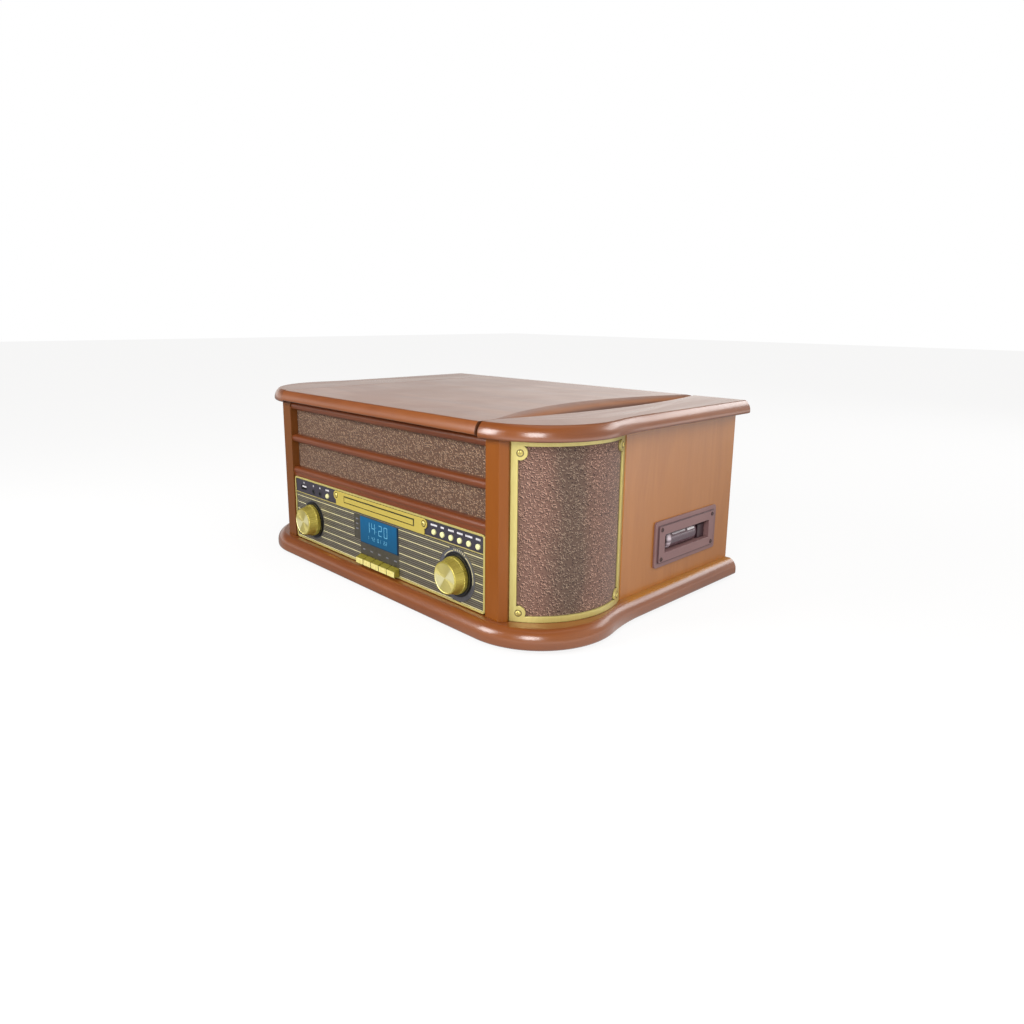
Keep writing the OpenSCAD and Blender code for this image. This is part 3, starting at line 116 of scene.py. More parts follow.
class Shade:
    """A node material under construction."""

    def __init__(self, name):
        self.mat = bpy.data.materials.new(name)
        self.mat.use_nodes = True
        self.tree = self.mat.node_tree
        self.bsdf = self.tree.nodes["Principled BSDF"]

    def add(self, kind, inputs=None, **settings):
        return tree_node(self.tree, kind, inputs, **settings)

    def base(self, **values):
        """Feeds the main shader's inputs, whose names have spaces for the underscores."""
        for key, value in values.items():
            feed(self.tree, self.bsdf.inputs[key.replace("_", " ")], value)

    def math(self, operation, a, b=0.0):
        return math_node(self.tree, operation, a, b)

    def times(self, a, b):
        return self.math("MULTIPLY", a, b)

    def plus(self, a, b):
        return self.math("ADD", a, b)

    def minus(self, a, b):
        return self.math("SUBTRACT", a, b)

    def over(self, a, b):
        return self.math("GREATER_THAN", a, b)

    def under(self, a, b):
        return self.math("LESS_THAN", a, b)

    def larger(self, a, b):
        return self.math("MAXIMUM", a, b)

    def apart(self, a, b):
        """How far two values are from each other."""
        return self.math("ABSOLUTE", self.minus(a, b))

    def length(self, a, b):
        """Length of the flat vector (a, b)."""
        return self.math("SQRT", self.plus(self.times(a, a), self.times(b, b)))

    def mix(self, factor, a, b):
        names = {0: factor, 6: a, 7: b}
        return self.add("Mix", names, data_type="RGBA", clamp_factor=True).outputs[2]

    def ramp(self, value, x0, x1, y0=0.0, y1=1.0, kind="SMOOTHSTEP"):
        return map_range(self.tree, value, x0, x1, y0, y1, kind)

    def place(self, scale, source=None):
        """Object coordinates, or a stored vector, times one scale or one for each axis."""
        if source:
            vector = self.add("Attribute", attribute_name=source).outputs["Vector"]
        else:
            vector = self.add("TexCoord").outputs["Object"]
        scales = scale if isinstance(scale, tuple) else (scale,) * 3
        return self.add("VectorMath", {0: vector, 1: scales}, operation="MULTIPLY").outputs[0]

    def xyz(self):
        """The three object coordinates in millimetres."""
        return self.add("SeparateXYZ", {0: self.place(1000)}).outputs[:3]

    def noise(self, vector, scale, detail, rough=0.5, twist=0.0):
        names = {"Vector": vector, "Scale": scale, "Detail": detail, "Roughness": rough, "Distortion": twist}
        return self.add("TexNoise", names).outputs[0]

    def nook(self, distance):
        """1 on open faces and lower in corners."""
        return self.add("AmbientOcclusion", {"Distance": distance}, samples=8).outputs["AO"]

    def rings(self, centres, radius):
        """1 on a thin ring about each centre, in millimetres, for painted shade round the edge of a screw
        head.
        """
        where = self.place(1000)
        total = 0.0
        for centre in centres:
            far = self.add("VectorMath", {0: where, 1: centre}, operation="DISTANCE").outputs["Value"]
            total = self.larger(self.ramp(self.apart(far, radius), 0.25, 0.75, 1.0, 0.0), total)
        return total

    def bump(self, height, distance, strength, bevel=None):
        names = {"Height": height, "Distance": distance, "Strength": strength}
        if bevel:
            names["Normal"] = self.add("Bevel", {"Radius": bevel}, samples=6).outputs[0]
        self.base(Normal=self.add("Bump", names).outputs[0])


def groove_tint(s, colour, coat, hollow):
    """The finger groove is dull and tan near its rim, and dark brown in its depth as painted shade."""
    y, z = s.xyz()[1:]
    deep = s.times(s.ramp(z, TOP_Z - 2.6, TOP_Z - 0.05, 1.0, 0.0), s.over(z, TOP_Z - 6.2))
    deep = s.times(deep, s.ramp(y, -168.0, -160.0))
    colour = s.mix(s.times(deep, 0.8), colour, hollow)
    # painted shade: dark brown deepest in the groove
    deepest = s.times(deep, s.ramp(z, TOP_Z - 4.4, TOP_Z - 2.4, 0.9, 0.0))
    colour = s.mix(deepest, colour, rgb(88, 42, 14))
    return colour, s.minus(coat, s.times(deep, 0.75))


def seam_tint(s, colour, coat, moulded):
    """A dark joint at the front of the lid's seams.

    Moulded pieces also get a duller flat top and a painted reflection of the side panel: a golden band on the
    plinth's top beside it.
    """
    x, y, z = s.xyz()
    beside = s.apart(s.math("ABSOLUTE", x), SEAM_X)
    line = s.times(s.ramp(beside, 0.4, 1.1, 0.8, 0.0), s.under(y, -165.0))
    colour = s.mix(s.times(line, s.over(z, WALL_Z - 1)), colour, rgb(46, 22, 10))
    if moulded:
        coat = s.minus(coat, s.times(s.over(z, TOP_Z - 0.3), 0.25))
        # painted reflection: the side panel's golden colour on the plinth's top beside it, with less coat
        panel_reflection = s.times(s.ramp(z, SEAT_Z - 2.0, SEAT_Z - 0.5), s.under(z, SEAT_Z + 1))
        panel_reflection = s.times(panel_reflection, s.ramp(y, -50.0, -20.0))
        colour = s.mix(s.times(panel_reflection, 0.8), colour, rgb(168, 112, 26))
        coat = s.minus(coat, s.times(panel_reflection, 0.75))
    return colour, coat


def wood(name, dark, mid, light, grain, bevel, rough, coat, source=None, left=None, hollow=None,
         polish=0.27, seam=False):
    """Lacquered veneer: mottling, streaks and short pores drawn out along the grain, under a clear coat."""
    s = Shade(name)
    at = s.place({"x": (1, 9, 9), "z": (9, 9, 1)}[grain], source)
    broad = s.noise(at, 5.0, 4.0, 0.55, 0.6)
    clouds = s.noise(s.place(9, source), 1.0, 3.0, 0.6)
    streaks = s.noise(at, 42.0, 5.0, 0.65)
    pores = s.noise(at, 170.0, 2.0, 0.5)
    colour = s.mix(s.ramp(broad, 0.34, 0.66), dark, light)
    colour = s.mix(s.ramp(clouds, 0.38, 0.66, 0.0, 0.75), colour, mid)
    colour = s.mix(s.ramp(streaks, 0.35, 0.7, 0.0, 0.3), colour, light)
    colour = s.mix(s.ramp(pores, 0.62, 0.72, 0.0, 0.35), colour, dark)
    # painted shade: darker towards the left, where the lamps' light is weaker
    if left:
        colour = s.mix(s.ramp(s.xyz()[0], -150, 150, 0.9, 0.0), colour, left)
    if hollow:
        colour, coat = groove_tint(s, colour, coat, hollow)
    # The joint line is dark; moulded pieces also get the painted reflection on the plinth's top.
    if seam:
        colour, coat = seam_tint(s, colour, coat, bool(source))
    s.base(Base_Color=colour, IOR=1.45, Coat_Weight=coat, Coat_Roughness=polish, Coat_IOR=1.5)
    s.base(Specular_IOR_Level=0.35)
    s.base(Roughness=s.ramp(clouds, 0.3, 0.7, rough - 0.05, rough + 0.06))
    s.bump(s.plus(s.times(streaks, 0.6), s.times(pores, 0.4)), 0.00012, 0.5, bevel)
    return s.mat


def step_line(s, tint):
    """Painted shade: a dark line round the step in the cassette surround."""
    y, z = s.xyz()[1:]
    across = s.minus(s.apart(y, TAPE_C[0]), TAPE_HALF[0] - STEP_IN)
    above = s.minus(s.apart(z, TAPE_C[1]), TAPE_HALF[1] - STEP_IN)
    edge = s.math("ABSOLUTE", s.larger(across, above))
    return s.mix(s.ramp(edge, 0.4, 0.9, 0.75, 0.0), tint, rgb(72, 46, 50))


def stuff(name, colour, other, rough, metal=0.0, grain=900, depth=0.00003, bevel=0.0004,
          painted_shade=None, screws=None, behind=None, stepped=False, **more):
    """A plain surface with fine grain: colour and roughness vary, and the grain shows as low relief."""
    s = Shade(name)
    fine = s.noise(s.place(grain), 1.0, 3.0, 0.6)
    wide = s.noise(s.place(14), 1.0, 2.0, 0.5)
    both = s.plus(s.times(fine, 0.5), s.times(wide, 0.5))
    tint = s.mix(s.ramp(both, 0.36, 0.64), colour, other)
    # painted shade: darker in corners and creases
    if painted_shade:
        tint = s.mix(s.ramp(s.nook(0.0016), 0.35, 0.85), painted_shade, tint)
    # painted shade: a dark ring round each screw head
    if screws:
        tint = s.mix(s.times(s.rings(screws, 3.1), 0.85), tint, painted_shade)
    # painted shade along the surround's step
    if stepped:
        tint = step_line(s, tint)
    if behind:
        tint = s.mix(s.over(s.xyz()[1], behind), tint, rgb(28, 28, 30))
    s.base(Base_Color=tint, Metallic=metal)
    s.base(Roughness=s.ramp(both, 0.3, 0.7, rough - 0.05, rough + 0.07))
    s.base(**more)
    s.bump(fine, depth, 0.6, bevel)
    return s.mat


def woven_curls(name):
    """Loudspeaker cloth: a dark ground with short curled threads, each with a painted highlight on one side
    and painted shade on the other, under broad upright bands of painted sheen.
    """
    s = Shade(name)
    at = s.place(1)
    warp = s.add("TexNoise", {"Vector": at, "Scale": 420.0, "Detail": 1.0}).outputs["Color"]
    small = s.add("VectorMath", {0: warp, 1: (0.0011, 0.0011, 0.0011)}, operation="MULTIPLY").outputs[0]
    bent = s.add("VectorMath", {0: at, 1: small}, operation="ADD").outputs[0]

    def curls(shift):
        where = s.add("VectorMath", {0: bent, 1: shift}, operation="ADD").outputs[0]
        cell = s.add("TexVoronoi", {"Vector": where, "Scale": 370.0}, feature="F1").outputs["Distance"]
        ring = s.ramp(s.apart(cell, 0.40), 0.03, 0.18, 1.0, 0.0)
        gaps = s.ramp(s.noise(where, 480.0, 1.0), 0.44, 0.57)
        return s.times(ring, gaps)

    # painted light and shade: each curl is lit on one side and shaded on the other
    relief = s.minus(curls((-0.0002, -0.0001, -0.0003)), curls((0.0002, 0.0001, 0.0003)))
    lit = s.larger(relief, 0.0)
    shade = s.larger(s.times(relief, -1.0), 0.0)
    x, y = s.xyz()[:2]
    out = s.minus(s.math("ABSOLUTE", x), SPK_C[0])
    turn = s.math("ARCTAN2", s.minus(y, SPK_C[1]), out)
    wander = s.times(s.minus(s.noise(s.place((30, 30, 9)), 1.0, 2.0), 0.5), 0.5)
    # painted sheen: lighter pinkish bands either side of a darker band, by angle about the corner's centre
    sheen_band = s.ramp(s.math("ABSOLUTE", s.plus(s.plus(turn, 0.42), wander)), 0.08, 0.34)
    ground = s.mix(sheen_band, rgb(98, 79, 68), rgb(120, 90, 78))
    on_strip = s.under(y, -154.3)
    ground = s.mix(on_strip, ground, rgb(88, 61, 43))
    speck = s.noise(s.place(900), 1.0, 1.0)
    ground = s.mix(s.ramp(speck, 0.42, 0.62, 0.0, 0.35), ground, rgb(82, 58, 50))
    colour = s.mix(s.ramp(shade, 0.05, 0.42, 0.0, 0.92), ground, rgb(44, 27, 25))
    pale = s.mix(sheen_band, rgb(160, 138, 118), rgb(190, 152, 132))
    pale = s.mix(on_strip, pale, rgb(170, 138, 108))
    colour = s.mix(s.ramp(lit, 0.08, 0.45, 0.0, 0.9), colour, pale)
    s.base(Base_Color=colour, Roughness=0.62, Specular_IOR_Level=0.3, Sheen_Weight=0.15, Sheen_Roughness=0.5)
    s.bump(s.plus(relief, s.times(speck, 0.4)), 0.0002, 0.5)
    return s.mat


def screw_metal(name):
    """Brass screws in the frames and the disc surround, browned ones beyond the right side panel, with
    painted shade in their creases.
    """
    s = Shade(name)
    x, y = s.xyz()[:2]
    fine = s.noise(s.place(700), 1.0, 2.0)
    gold = s.mix(s.ramp(fine, 0.35, 0.65), rgb(224, 208, 124), rgb(196, 178, 96))
    brown = s.mix(s.ramp(fine, 0.35, 0.65), rgb(74, 54, 54), rgb(92, 68, 68))
    tape = s.times(s.over(x, 245.6), s.over(y, 0.0))
    colour = s.mix(tape, gold, brown)
    # painted shade: darker in creases and where the heads meet their seats
    s.base(Base_Color=s.mix(s.ramp(s.nook(0.0012), 0.3, 0.8), rgb(50, 40, 20), colour), Metallic=0.4)
    s.base(Roughness=s.ramp(fine, 0.3, 0.7, 0.28, 0.38))
    s.bump(fine, 0.00001, 0.4, 0.0003)
    return s.mat


def dial_face(name):
    """Printed dial: olive-black ground, slate upper fields and slate rounds, with a black disc behind each
    knob as painted shadow and dark reflection of the knob.
    """
    s = Shade(name)
    x, _, z = s.xyz()
    fine = s.noise(s.place(700), 1.0, 2.0)
    r = s.length(s.minus(s.math("ABSOLUTE", x), KNOB_X), s.minus(z, KNOB_Z))
    colour = s.mix(s.ramp(fine, 0.4, 0.6), rgb(60, 56, 46), rgb(68, 64, 54))
    slate = s.mix(s.ramp(fine, 0.4, 0.6), rgb(48, 44, 54), rgb(56, 52, 62))
    colour = s.mix(s.over(z, DIVIDER_Z + 0.5), colour, slate)
    round_slate = s.mix(s.ramp(fine, 0.4, 0.6), rgb(74, 74, 80), rgb(84, 84, 90))
    reach = s.plus(s.times(s.over(x, 0.0), 3.5), 24.0)
    colour = s.mix(s.under(r, reach), colour, round_slate)
    # painted shadow: a black disc round each knob for its shadow and dark reflection
    colour = s.mix(s.under(r, 23.2), colour, rgb(12, 12, 14))
    s.base(Base_Color=colour, Specular_IOR_Level=0.5)
    s.base(Roughness=s.ramp(fine, 0.3, 0.7, 0.3, 0.42))
    s.bump(fine, 0.00002, 0.5, 0.0003)
    return s.mat


def display_glass(name):
    """Lit blue display under a clear window, a little brighter at the top, with painted shadow along its
    right and bottom edges.
    """
    s = Shade(name)
    x, _, z = s.xyz()
    right_x = LCD_C[0] + LCD_W / 2
    low_z, high_z = LCD_C[1] - LCD_H / 2, LCD_C[1] + LCD_H / 2
    fine = s.noise(s.place(300), 1.0, 2.0)
    rise = s.ramp(z, low_z, high_z, kind="LINEAR")
    glow = s.mix(rise, rgb(8, 86, 124), rgb(14, 102, 150))
    glow = s.mix(s.ramp(fine, 0.3, 0.7, 0.0, 0.2), glow, rgb(16, 72, 112))
    # painted shadow: a dark band along the right and bottom edges, under the window's frame
    right = s.ramp(x, right_x - 2.6, right_x - 1.4)
    low = s.ramp(z, low_z + 0.5, low_z + 1.2, 0.7, 0.0)
    glow = s.mix(s.larger(right, low), glow, rgb(8, 30, 50))
    s.base(Base_Color=rgb(6, 26, 42), Roughness=0.3, Coat_Weight=0.1, Coat_Roughness=0.1)
    s.base(Emission_Color=glow, Emission_Strength=0.87, Specular_IOR_Level=0.2)
    return s.mat


def glowing(name, colour, strength):
    """A lit figure, slightly uneven."""
    s = Shade(name)
    fine = s.noise(s.place(2500), 1.0, 1.0)
    s.base(Base_Color=rgb(60, 120, 150), Roughness=0.4, Emission_Strength=strength)
    s.base(Emission_Color=s.mix(s.ramp(fine, 0.3, 0.7, 0.0, 0.3), colour, rgb(90, 170, 205)))
    return s.mat


def spun_brass(name):
    """Knob brass turned on a lathe: a mirror sheen drawn out round the axis, with fine turning rings and
    painted highlights, two bright sectors across the face.
    """
    s = Shade(name)
    x, y, z = s.xyz()
    r = s.length(x, y)
    flat = s.add("CombineXYZ", {0: x, 1: y}).outputs[0]
    unit = s.add("VectorMath", {0: flat}, operation="NORMALIZE").outputs[0]
    turned = s.add("CombineXYZ", {0: s.times(r, 5.2), 1: s.times(z, 0.9)}).outputs[0]
    rings = s.noise(turned, 1.0, 3.0, 0.7)
    drawn = s.noise(unit, 44.0, 2.0, 0.6)
    # painted highlight: two bright sectors across the face, by angle about the axis
    highlight_sweep = s.math("COSINE", s.times(s.minus(s.math("ARCTAN2", y, x), 0.4), 2.0))
    highlight_sweep = s.plus(highlight_sweep, s.times(s.minus(s.noise(unit, 4.0, 2.0), 0.5), 0.9))
    face = s.mix(s.ramp(highlight_sweep, 0.1, 0.95), rgb(204, 190, 114), rgb(252, 244, 190))
    side = s.mix(s.ramp(drawn, 0.38, 0.62), rgb(160, 146, 54), rgb(200, 184, 86))
    front = s.times(s.ramp(z, 13.4, 13.9), s.ramp(r, 15.0, 15.4, 1.0, 0.0))
    colour = s.mix(front, side, face)
    colour = s.mix(s.ramp(rings, 0.35, 0.65, 0.0, 0.25), colour, rgb(214, 200, 120))
    s.base(Base_Color=colour, Metallic=0.6)
    s.base(Roughness=s.ramp(rings, 0.3, 0.7, 0.3, 0.4), Anisotropic=0.9)
    s.base(Tangent=s.add("Tangent", direction_type="RADIAL", axis="Z").outputs[0])
    s.bump(s.plus(rings, drawn), 0.00002, 0.5)
    return s.mat


def gilt_key_painted_light(name):
    """Gilt keys: bright fronts, with tops and sides painted dark olive as a painted reflection of the dark
    dial, and painted shade in the corners.
    """
    s = Shade(name)
    normal = s.add("SeparateXYZ", {0: s.add("TexCoord").outputs["Normal"]}).outputs[1]
    fine = s.noise(s.place(500), 1.0, 2.0)
    bright = s.mix(s.ramp(fine, 0.35, 0.65), rgb(240, 228, 148), rgb(228, 214, 128))
    olive = s.mix(s.ramp(fine, 0.35, 0.65), rgb(132, 122, 40), rgb(148, 136, 50))
    # painted reflection: faces that do not look forward are dark olive, for the dark dial they reflect
    colour = s.mix(s.ramp(s.times(normal, -1.0), 0.5, 0.9), olive, bright)
    # painted shade: darker in corners and between the keys
    s.base(Base_Color=s.mix(s.ramp(s.nook(0.0016), 0.35, 0.85), rgb(50, 42, 14), colour), Metallic=0.2)
    s.base(Roughness=s.ramp(fine, 0.3, 0.7, 0.3, 0.4))
    s.bump(fine, 0.00002, 0.4, 0.0006)
    return s.mat


def ribbed_rubber(name, centre, pitch, colour):
    """Record mat: concentric ribs."""
    s = Shade(name)
    x, y = s.xyz()[:2]
    r = s.length(s.minus(x, centre[0]), s.minus(y, centre[1]))
    wave = s.math("SINE", s.times(r, 2 * math.pi / pitch))
    field = s.times(s.ramp(r, 22.0, 23.0), s.ramp(r, 128.0, 129.0, 1.0, 0.0))
    ribs = s.times(wave, field)
    fine = s.noise(s.place(800), 1.0, 2.0)
    s.base(Base_Color=s.mix(s.ramp(fine, 0.35, 0.65), colour, rgb(44, 44, 46)), Roughness=0.72)
    s.bump(s.plus(ribs, s.times(fine, 0.3)), 0.0005, 0.8, 0.0004)
    return s.mat


WOOD_SIDE = wood("wood_side", rgb(160, 98, 34), rgb(167, 104, 39), rgb(173, 110, 45), "z", 0.0008, 0.36, 0.7)
# The posts' left colour is painted shade, darker towards the left.
WOOD_POST = wood("wood_post", rgb(122, 62, 0), rgb(130, 68, 2), rgb(137, 74, 4), "z", 0.0014, 0.34, 0.12,
                 left=rgb(106, 60, 21))
WOOD_RAIL = wood("wood_rail", rgb(98, 44, 12), rgb(107, 50, 16), rgb(114, 56, 20), "x", 0.0006, 0.34, 0.6)
WOOD_MOULD = wood("wood_mould", rgb(112, 55, 17), rgb(124, 65, 21), rgb(134, 73, 27), "x", None, 0.32, 1.0,
                  "grain", polish=0.215, seam=True)
WOOD_LID = wood("wood_lid", rgb(122, 62, 20), rgb(132, 70, 26), rgb(142, 80, 32), "x", None, 0.36, 1.0,
                hollow=rgb(160, 96, 46), polish=0.245, seam=True)
WOOD_INNER = wood("wood_inner", rgb(96, 66, 44), rgb(112, 80, 56), rgb(124, 90, 64), "z", 0.0004, 0.55, 0.0)
CLOTH = woven_curls("speaker_cloth")
# In the brass finishes the last colour given is painted shade, for creases and screw heads.
FRAME_BRASS = stuff("brass_satin", rgb(198, 185, 114), rgb(192, 177, 104), 0.34, 0.3, (500, 500, 80), 0.00001,
                    0.0009, rgb(70, 58, 24), FRAME_SCREWS, Specular_IOR_Level=0.6)
BRUSHED = (rgb(205, 184, 89), rgb(199, 178, 83), 0.38, 0.3, (60, 900, 1400), 0.00001, 0.0005, rgb(60, 50, 20))
PLATE_BRASS = stuff("brass_brushed", *BRUSHED, PLATE_SCREWS)
DRAWER_FRONT = stuff("drawer_gilt", *BRUSHED, behind=DRAWER_Y + 2.5)
SCREW_BRASS = screw_metal("screw_metal")
DIAL = dial_face("dial_print")
DISPLAY = display_glass("display_blue")
DIGITS = glowing("display_digits", rgb(124, 190, 216), 0.62)
KNOB_BRASS = spun_brass("brass_spun")
STRIPE = stuff("stripe_gold", rgb(216, 208, 164), rgb(204, 196, 150), 0.4, 0.1, bevel=0.0)
STRIPE_DIM = stuff("stripe_dim", rgb(126, 119, 106), rgb(116, 110, 98), 0.45, 0.1, bevel=0.0)
OLIVE_SHADE = stuff("olive_painted_shade", rgb(132, 112, 44), rgb(120, 100, 38), 0.45, 0.1, bevel=0.0)
PRINT = stuff("print_pale", rgb(236, 234, 236), rgb(220, 218, 224), 0.5, bevel=0.0)
PRINT_DIM = stuff("print_dim", rgb(128, 130, 138), rgb(116, 118, 126), 0.5, bevel=0.0)
CREAM = stuff("button_cream", rgb(238, 236, 180), rgb(228, 224, 162), 0.3, 0.1, Coat_Weight=0.4)
KEY_GOLD = gilt_key_painted_light("key_gold")
BEZEL_PLASTIC = stuff("bezel_plastic", rgb(140, 106, 104), rgb(130, 97, 97), 0.36, 0.0, 1400, 0.00005, 0.0008,
                      stepped=True)
TAPE_DARK = stuff("tape_dark", rgb(66, 44, 50), rgb(56, 37, 43), 0.34, 0.0, 1400, 0.00004, 0.0008)
BLACK_PLASTIC = stuff("black_plastic", rgb(26, 26, 28), rgb(34, 34, 36), 0.42, bevel=0.0005)
GREY_PLASTIC = stuff("grey_plastic", rgb(88, 88, 92), rgb(100, 100, 104), 0.5, bevel=0.0005)
RUBBER = stuff("rubber", rgb(22, 22, 23), rgb(32, 32, 33), 0.75, bevel=0.0006)
STEEL = stuff("steel", rgb(188, 188, 192), rgb(170, 170, 176), 0.3, 1.0, (200, 2000, 2000), 0.00001, 0.0003)
CONE = stuff("speaker_black", rgb(24, 24, 25), rgb(36, 36, 38), 0.6)
BOARD = stuff("circuit_board", rgb(24, 74, 42), rgb(34, 92, 52), 0.45)
PLATTER_GREY = stuff("platter_grey", rgb(150, 152, 156), rgb(164, 166, 170), 0.34, 0.3, 60, 0.00002, 0.0006)
MAT = ribbed_rubber("mat_ribbed", (-26.0, 8.55), 4.0, rgb(30, 30, 32))


def smoky(name):
    """Smoky clear plastic with a sharp coat, and a painted highlight, pale and rough, at its rounded front
    end.
    """
    s = Shade(name)
    y = s.xyz()[1]
    fine = s.noise(s.place(300), 1.0, 2.0)
    tint = s.mix(s.ramp(fine, 0.3, 0.7), rgb(104, 66, 84), rgb(120, 80, 98))
    patch = s.ramp(s.noise(s.place((60, 60, 260)), 1.0, 2.0), 0.4, 0.62, 0.35, 1.0)
    # painted highlight: the rounded front end is pale, patchy, rougher and less clear
    end_glint = s.times(s.ramp(y, 50.5, 53.5, 1.0, 0.0), patch)
    s.base(Base_Color=s.mix(end_glint, tint, rgb(226, 212, 220)), IOR=1.49, Coat_Weight=0.5, Coat_Roughness=0.03)
    s.base(Roughness=s.ramp(end_glint, 0.0, 1.0, 0.06, 0.4))
    s.base(Transmission_Weight=s.ramp(end_glint, 0.0, 1.0, 0.55, 0.1))
    s.bump(fine, 0.00002, 0.3)
    return s.mat


SMOKY = smoky("smoky_clear")


# Mesh helpers
def in_scene(name, data):
    """A new object that holds the data, linked to the scene."""
    obj = bpy.data.objects.new(name, data)
    bpy.context.scene.collection.objects.link(obj)
    return obj


def make(name, points, faces, material, sharp=28.0, rim=None, body="cabinet", stored=None):
    """A smooth-shaded mesh object from points in millimetres; sharp edges and those on a rim stay crisp."""
    mesh = bpy.data.meshes.new(name)
    mesh.from_pydata([[c * MM for c in p] for p in points], [], faces)
    bm = bmesh.new()
    bm.from_mesh(mesh)
    layer = bm.verts.layers.float_vector.new("grain") if stored else None
    if stored:
        bm.verts.ensure_lookup_table()
        for v, value in zip(bm.verts, stored):
            v[layer] = [c * MM for c in value]
    bmesh.ops.remove_doubles(bm, verts=bm.verts, dist=1e-6)
    bmesh.ops.dissolve_degenerate(bm, dist=1e-7, edges=bm.edges)
    bmesh.ops.recalc_face_normals(bm, faces=bm.faces)
    for f in bm.faces:
        f.smooth = True
    for e in bm.edges:
        wide = len(e.link_faces) != 2 or e.calc_face_angle(0.0) > math.radians(sharp)
        e.smooth = not (wide or (rim and all(rim(v.co) for v in e.verts)))
    bm.to_mesh(mesh)
    bm.free()
    mesh.materials.append(material)
    obj = in_scene(name, mesh)
    if body:
        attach(obj, body)
    return obj


def edge_section(t, crown_z, crown_r, tip_r, low_r):
    """Moulded edge in section: x = 0 at its furthest point, a small round below and a large crown above."""
    turn = math.degrees(math.asin((t - tip_r - crown_z) / (crown_r - tip_r)))
    tip_c = polar((-crown_r, crown_z), crown_r - tip_r, turn)
    return (arc((-low_r, low_r), low_r, -90, 0, 6) + arc((-crown_r, crown_z), crown_r, 0, turn, 16)
            + arc(tip_c, tip_r, turn, 90, 6)[1:])


def lobed_outline(start_x, lobe_c, lobe_r, cove_r, side, end_y, inset):
    """Right half of a lobed outline from the rear seam point round the front to the rear corner."""
    turn = math.degrees(math.acos((side + cove_r - lobe_c[0]) / (lobe_r + cove_r)))
    cove_c = polar(lobe_c, lobe_r + cove_r, turn)
    return ([(start_x, lobe_c[1] - lobe_r + inset)]
            + arc(lobe_c, lobe_r - inset, -90 + (0 if start_x < lobe_c[0] else 0.5), turn, 90)
            + arc(cove_c, cove_r + inset, 179.3 + turn, 180, 14)
            + [(side - inset, end_y)])


def path_lengths(points):
    """Distance along a path at each of its points."""
    total, out = 0.0, [0.0]
    for a, b in zip(points, points[1:]):
        total += math.dist(a, b)
        out.append(total)
    return out


def groove_z(share):
    """Depth of the finger groove at the seam; share is -1 to 1 along its length."""
    return -GROOVE_DEPTH * (1 - share * share)


def groove_share(y):
    """Where y lies along the groove, from -1 at its front end to 1 at its rear end."""
    return 2 * (y - GROOVE_Y) / GROOVE_LEN


def groove_stations():
    """Shares along the groove, from its front end to the rear edge, which cuts it short."""
    last = groove_share(LID_REAR_Y)
    return [-1 + (last + 1) * i / 48 for i in range(49)]


def groove_patch(edge_x, away, width, power, points, faces):
    """Adds the dished floor of the groove beside a seam; returns its lowest line and its rim as indices."""
    steps = 18
    rows = []
    for share in groove_stations():
        y = GROOVE_Y + share * GROOVE_LEN / 2
        reach = width * (1 - share * share)
        row = []
        for k in range(steps + 1):
            part = 1 - (1 - k / steps) ** 1.5
            eased = part ** power
            points.append((edge_x + away * reach * part, y, TOP_Z + groove_z(share) * (1 - eased)))
            row.append(len(points) - 1)
        rows.append(row)
    for a, b in zip(rows, rows[1:]):
        for k in range(steps):
            faces.append((a[k], a[k + 1], b[k + 1], b[k]))
    return [row[0] for row in rows], [row[-1] for row in rows]


def on_rim(edge_x, away, width):
    """Tells whether a point lies on the groove's rim."""
    def test(co):
        x, y, z = (c / MM for c in co)
        share = groove_share(y)
        if abs(share) > 1.0001 or z < TOP_Z - 0.02:
            return False
        return abs((x - edge_x) * away - width * (1 - share * share)) < 0.05
    return test


def join_rows(faces, low, high, count, closed=True):
    """Joins two rows of points, which begin at low and at high, with four-sided faces."""
    for i in range(count if closed else count - 1):
        j = (i + 1) % count
        faces.append((low + i, low + j, high + j, high + i))


def sheet_faces(rows, cols):
    """Faces of a thin sheet: a grid of points, the same grid again behind it, and the edge between."""
    half = rows * cols
    faces = []
    for i in range(rows - 1):
        for j in range(cols - 1):
            a, d = i * cols + j, (i + 1) * cols + j
            faces += [(a, a + 1, d + 1, d), (half + d, half + d + 1, half + a + 1, half + a)]
    border = list(range(cols)) + [i * cols + cols - 1 for i in range(1, rows)]
    border += [(rows - 1) * cols + j for j in range(cols - 2, -1, -1)]
    border += [i * cols for i in range(rows - 2, 0, -1)]
    for a, b in zip(border, border[1:] + border[:1]):
        faces.append((b, a, half + a, half + b))
    return faces


def corners(a0, a1, b0, b1):
    """The four corners of a rectangle, in turn."""
    return (a0, b0), (a1, b0), (a1, b1), (a0, b1)


def add_box(points, faces, eight):
    """Adds a box from its four front corners and the four behind them."""
    k = len(points)
    points += eight
    faces += [(k, k + 1, k + 2, k + 3), (k + 7, k + 6, k + 5, k + 4)]
    faces += [(k + i, k + 4 + i, k + 4 + (i + 1) % 4, k + (i + 1) % 4) for i in range(4)]


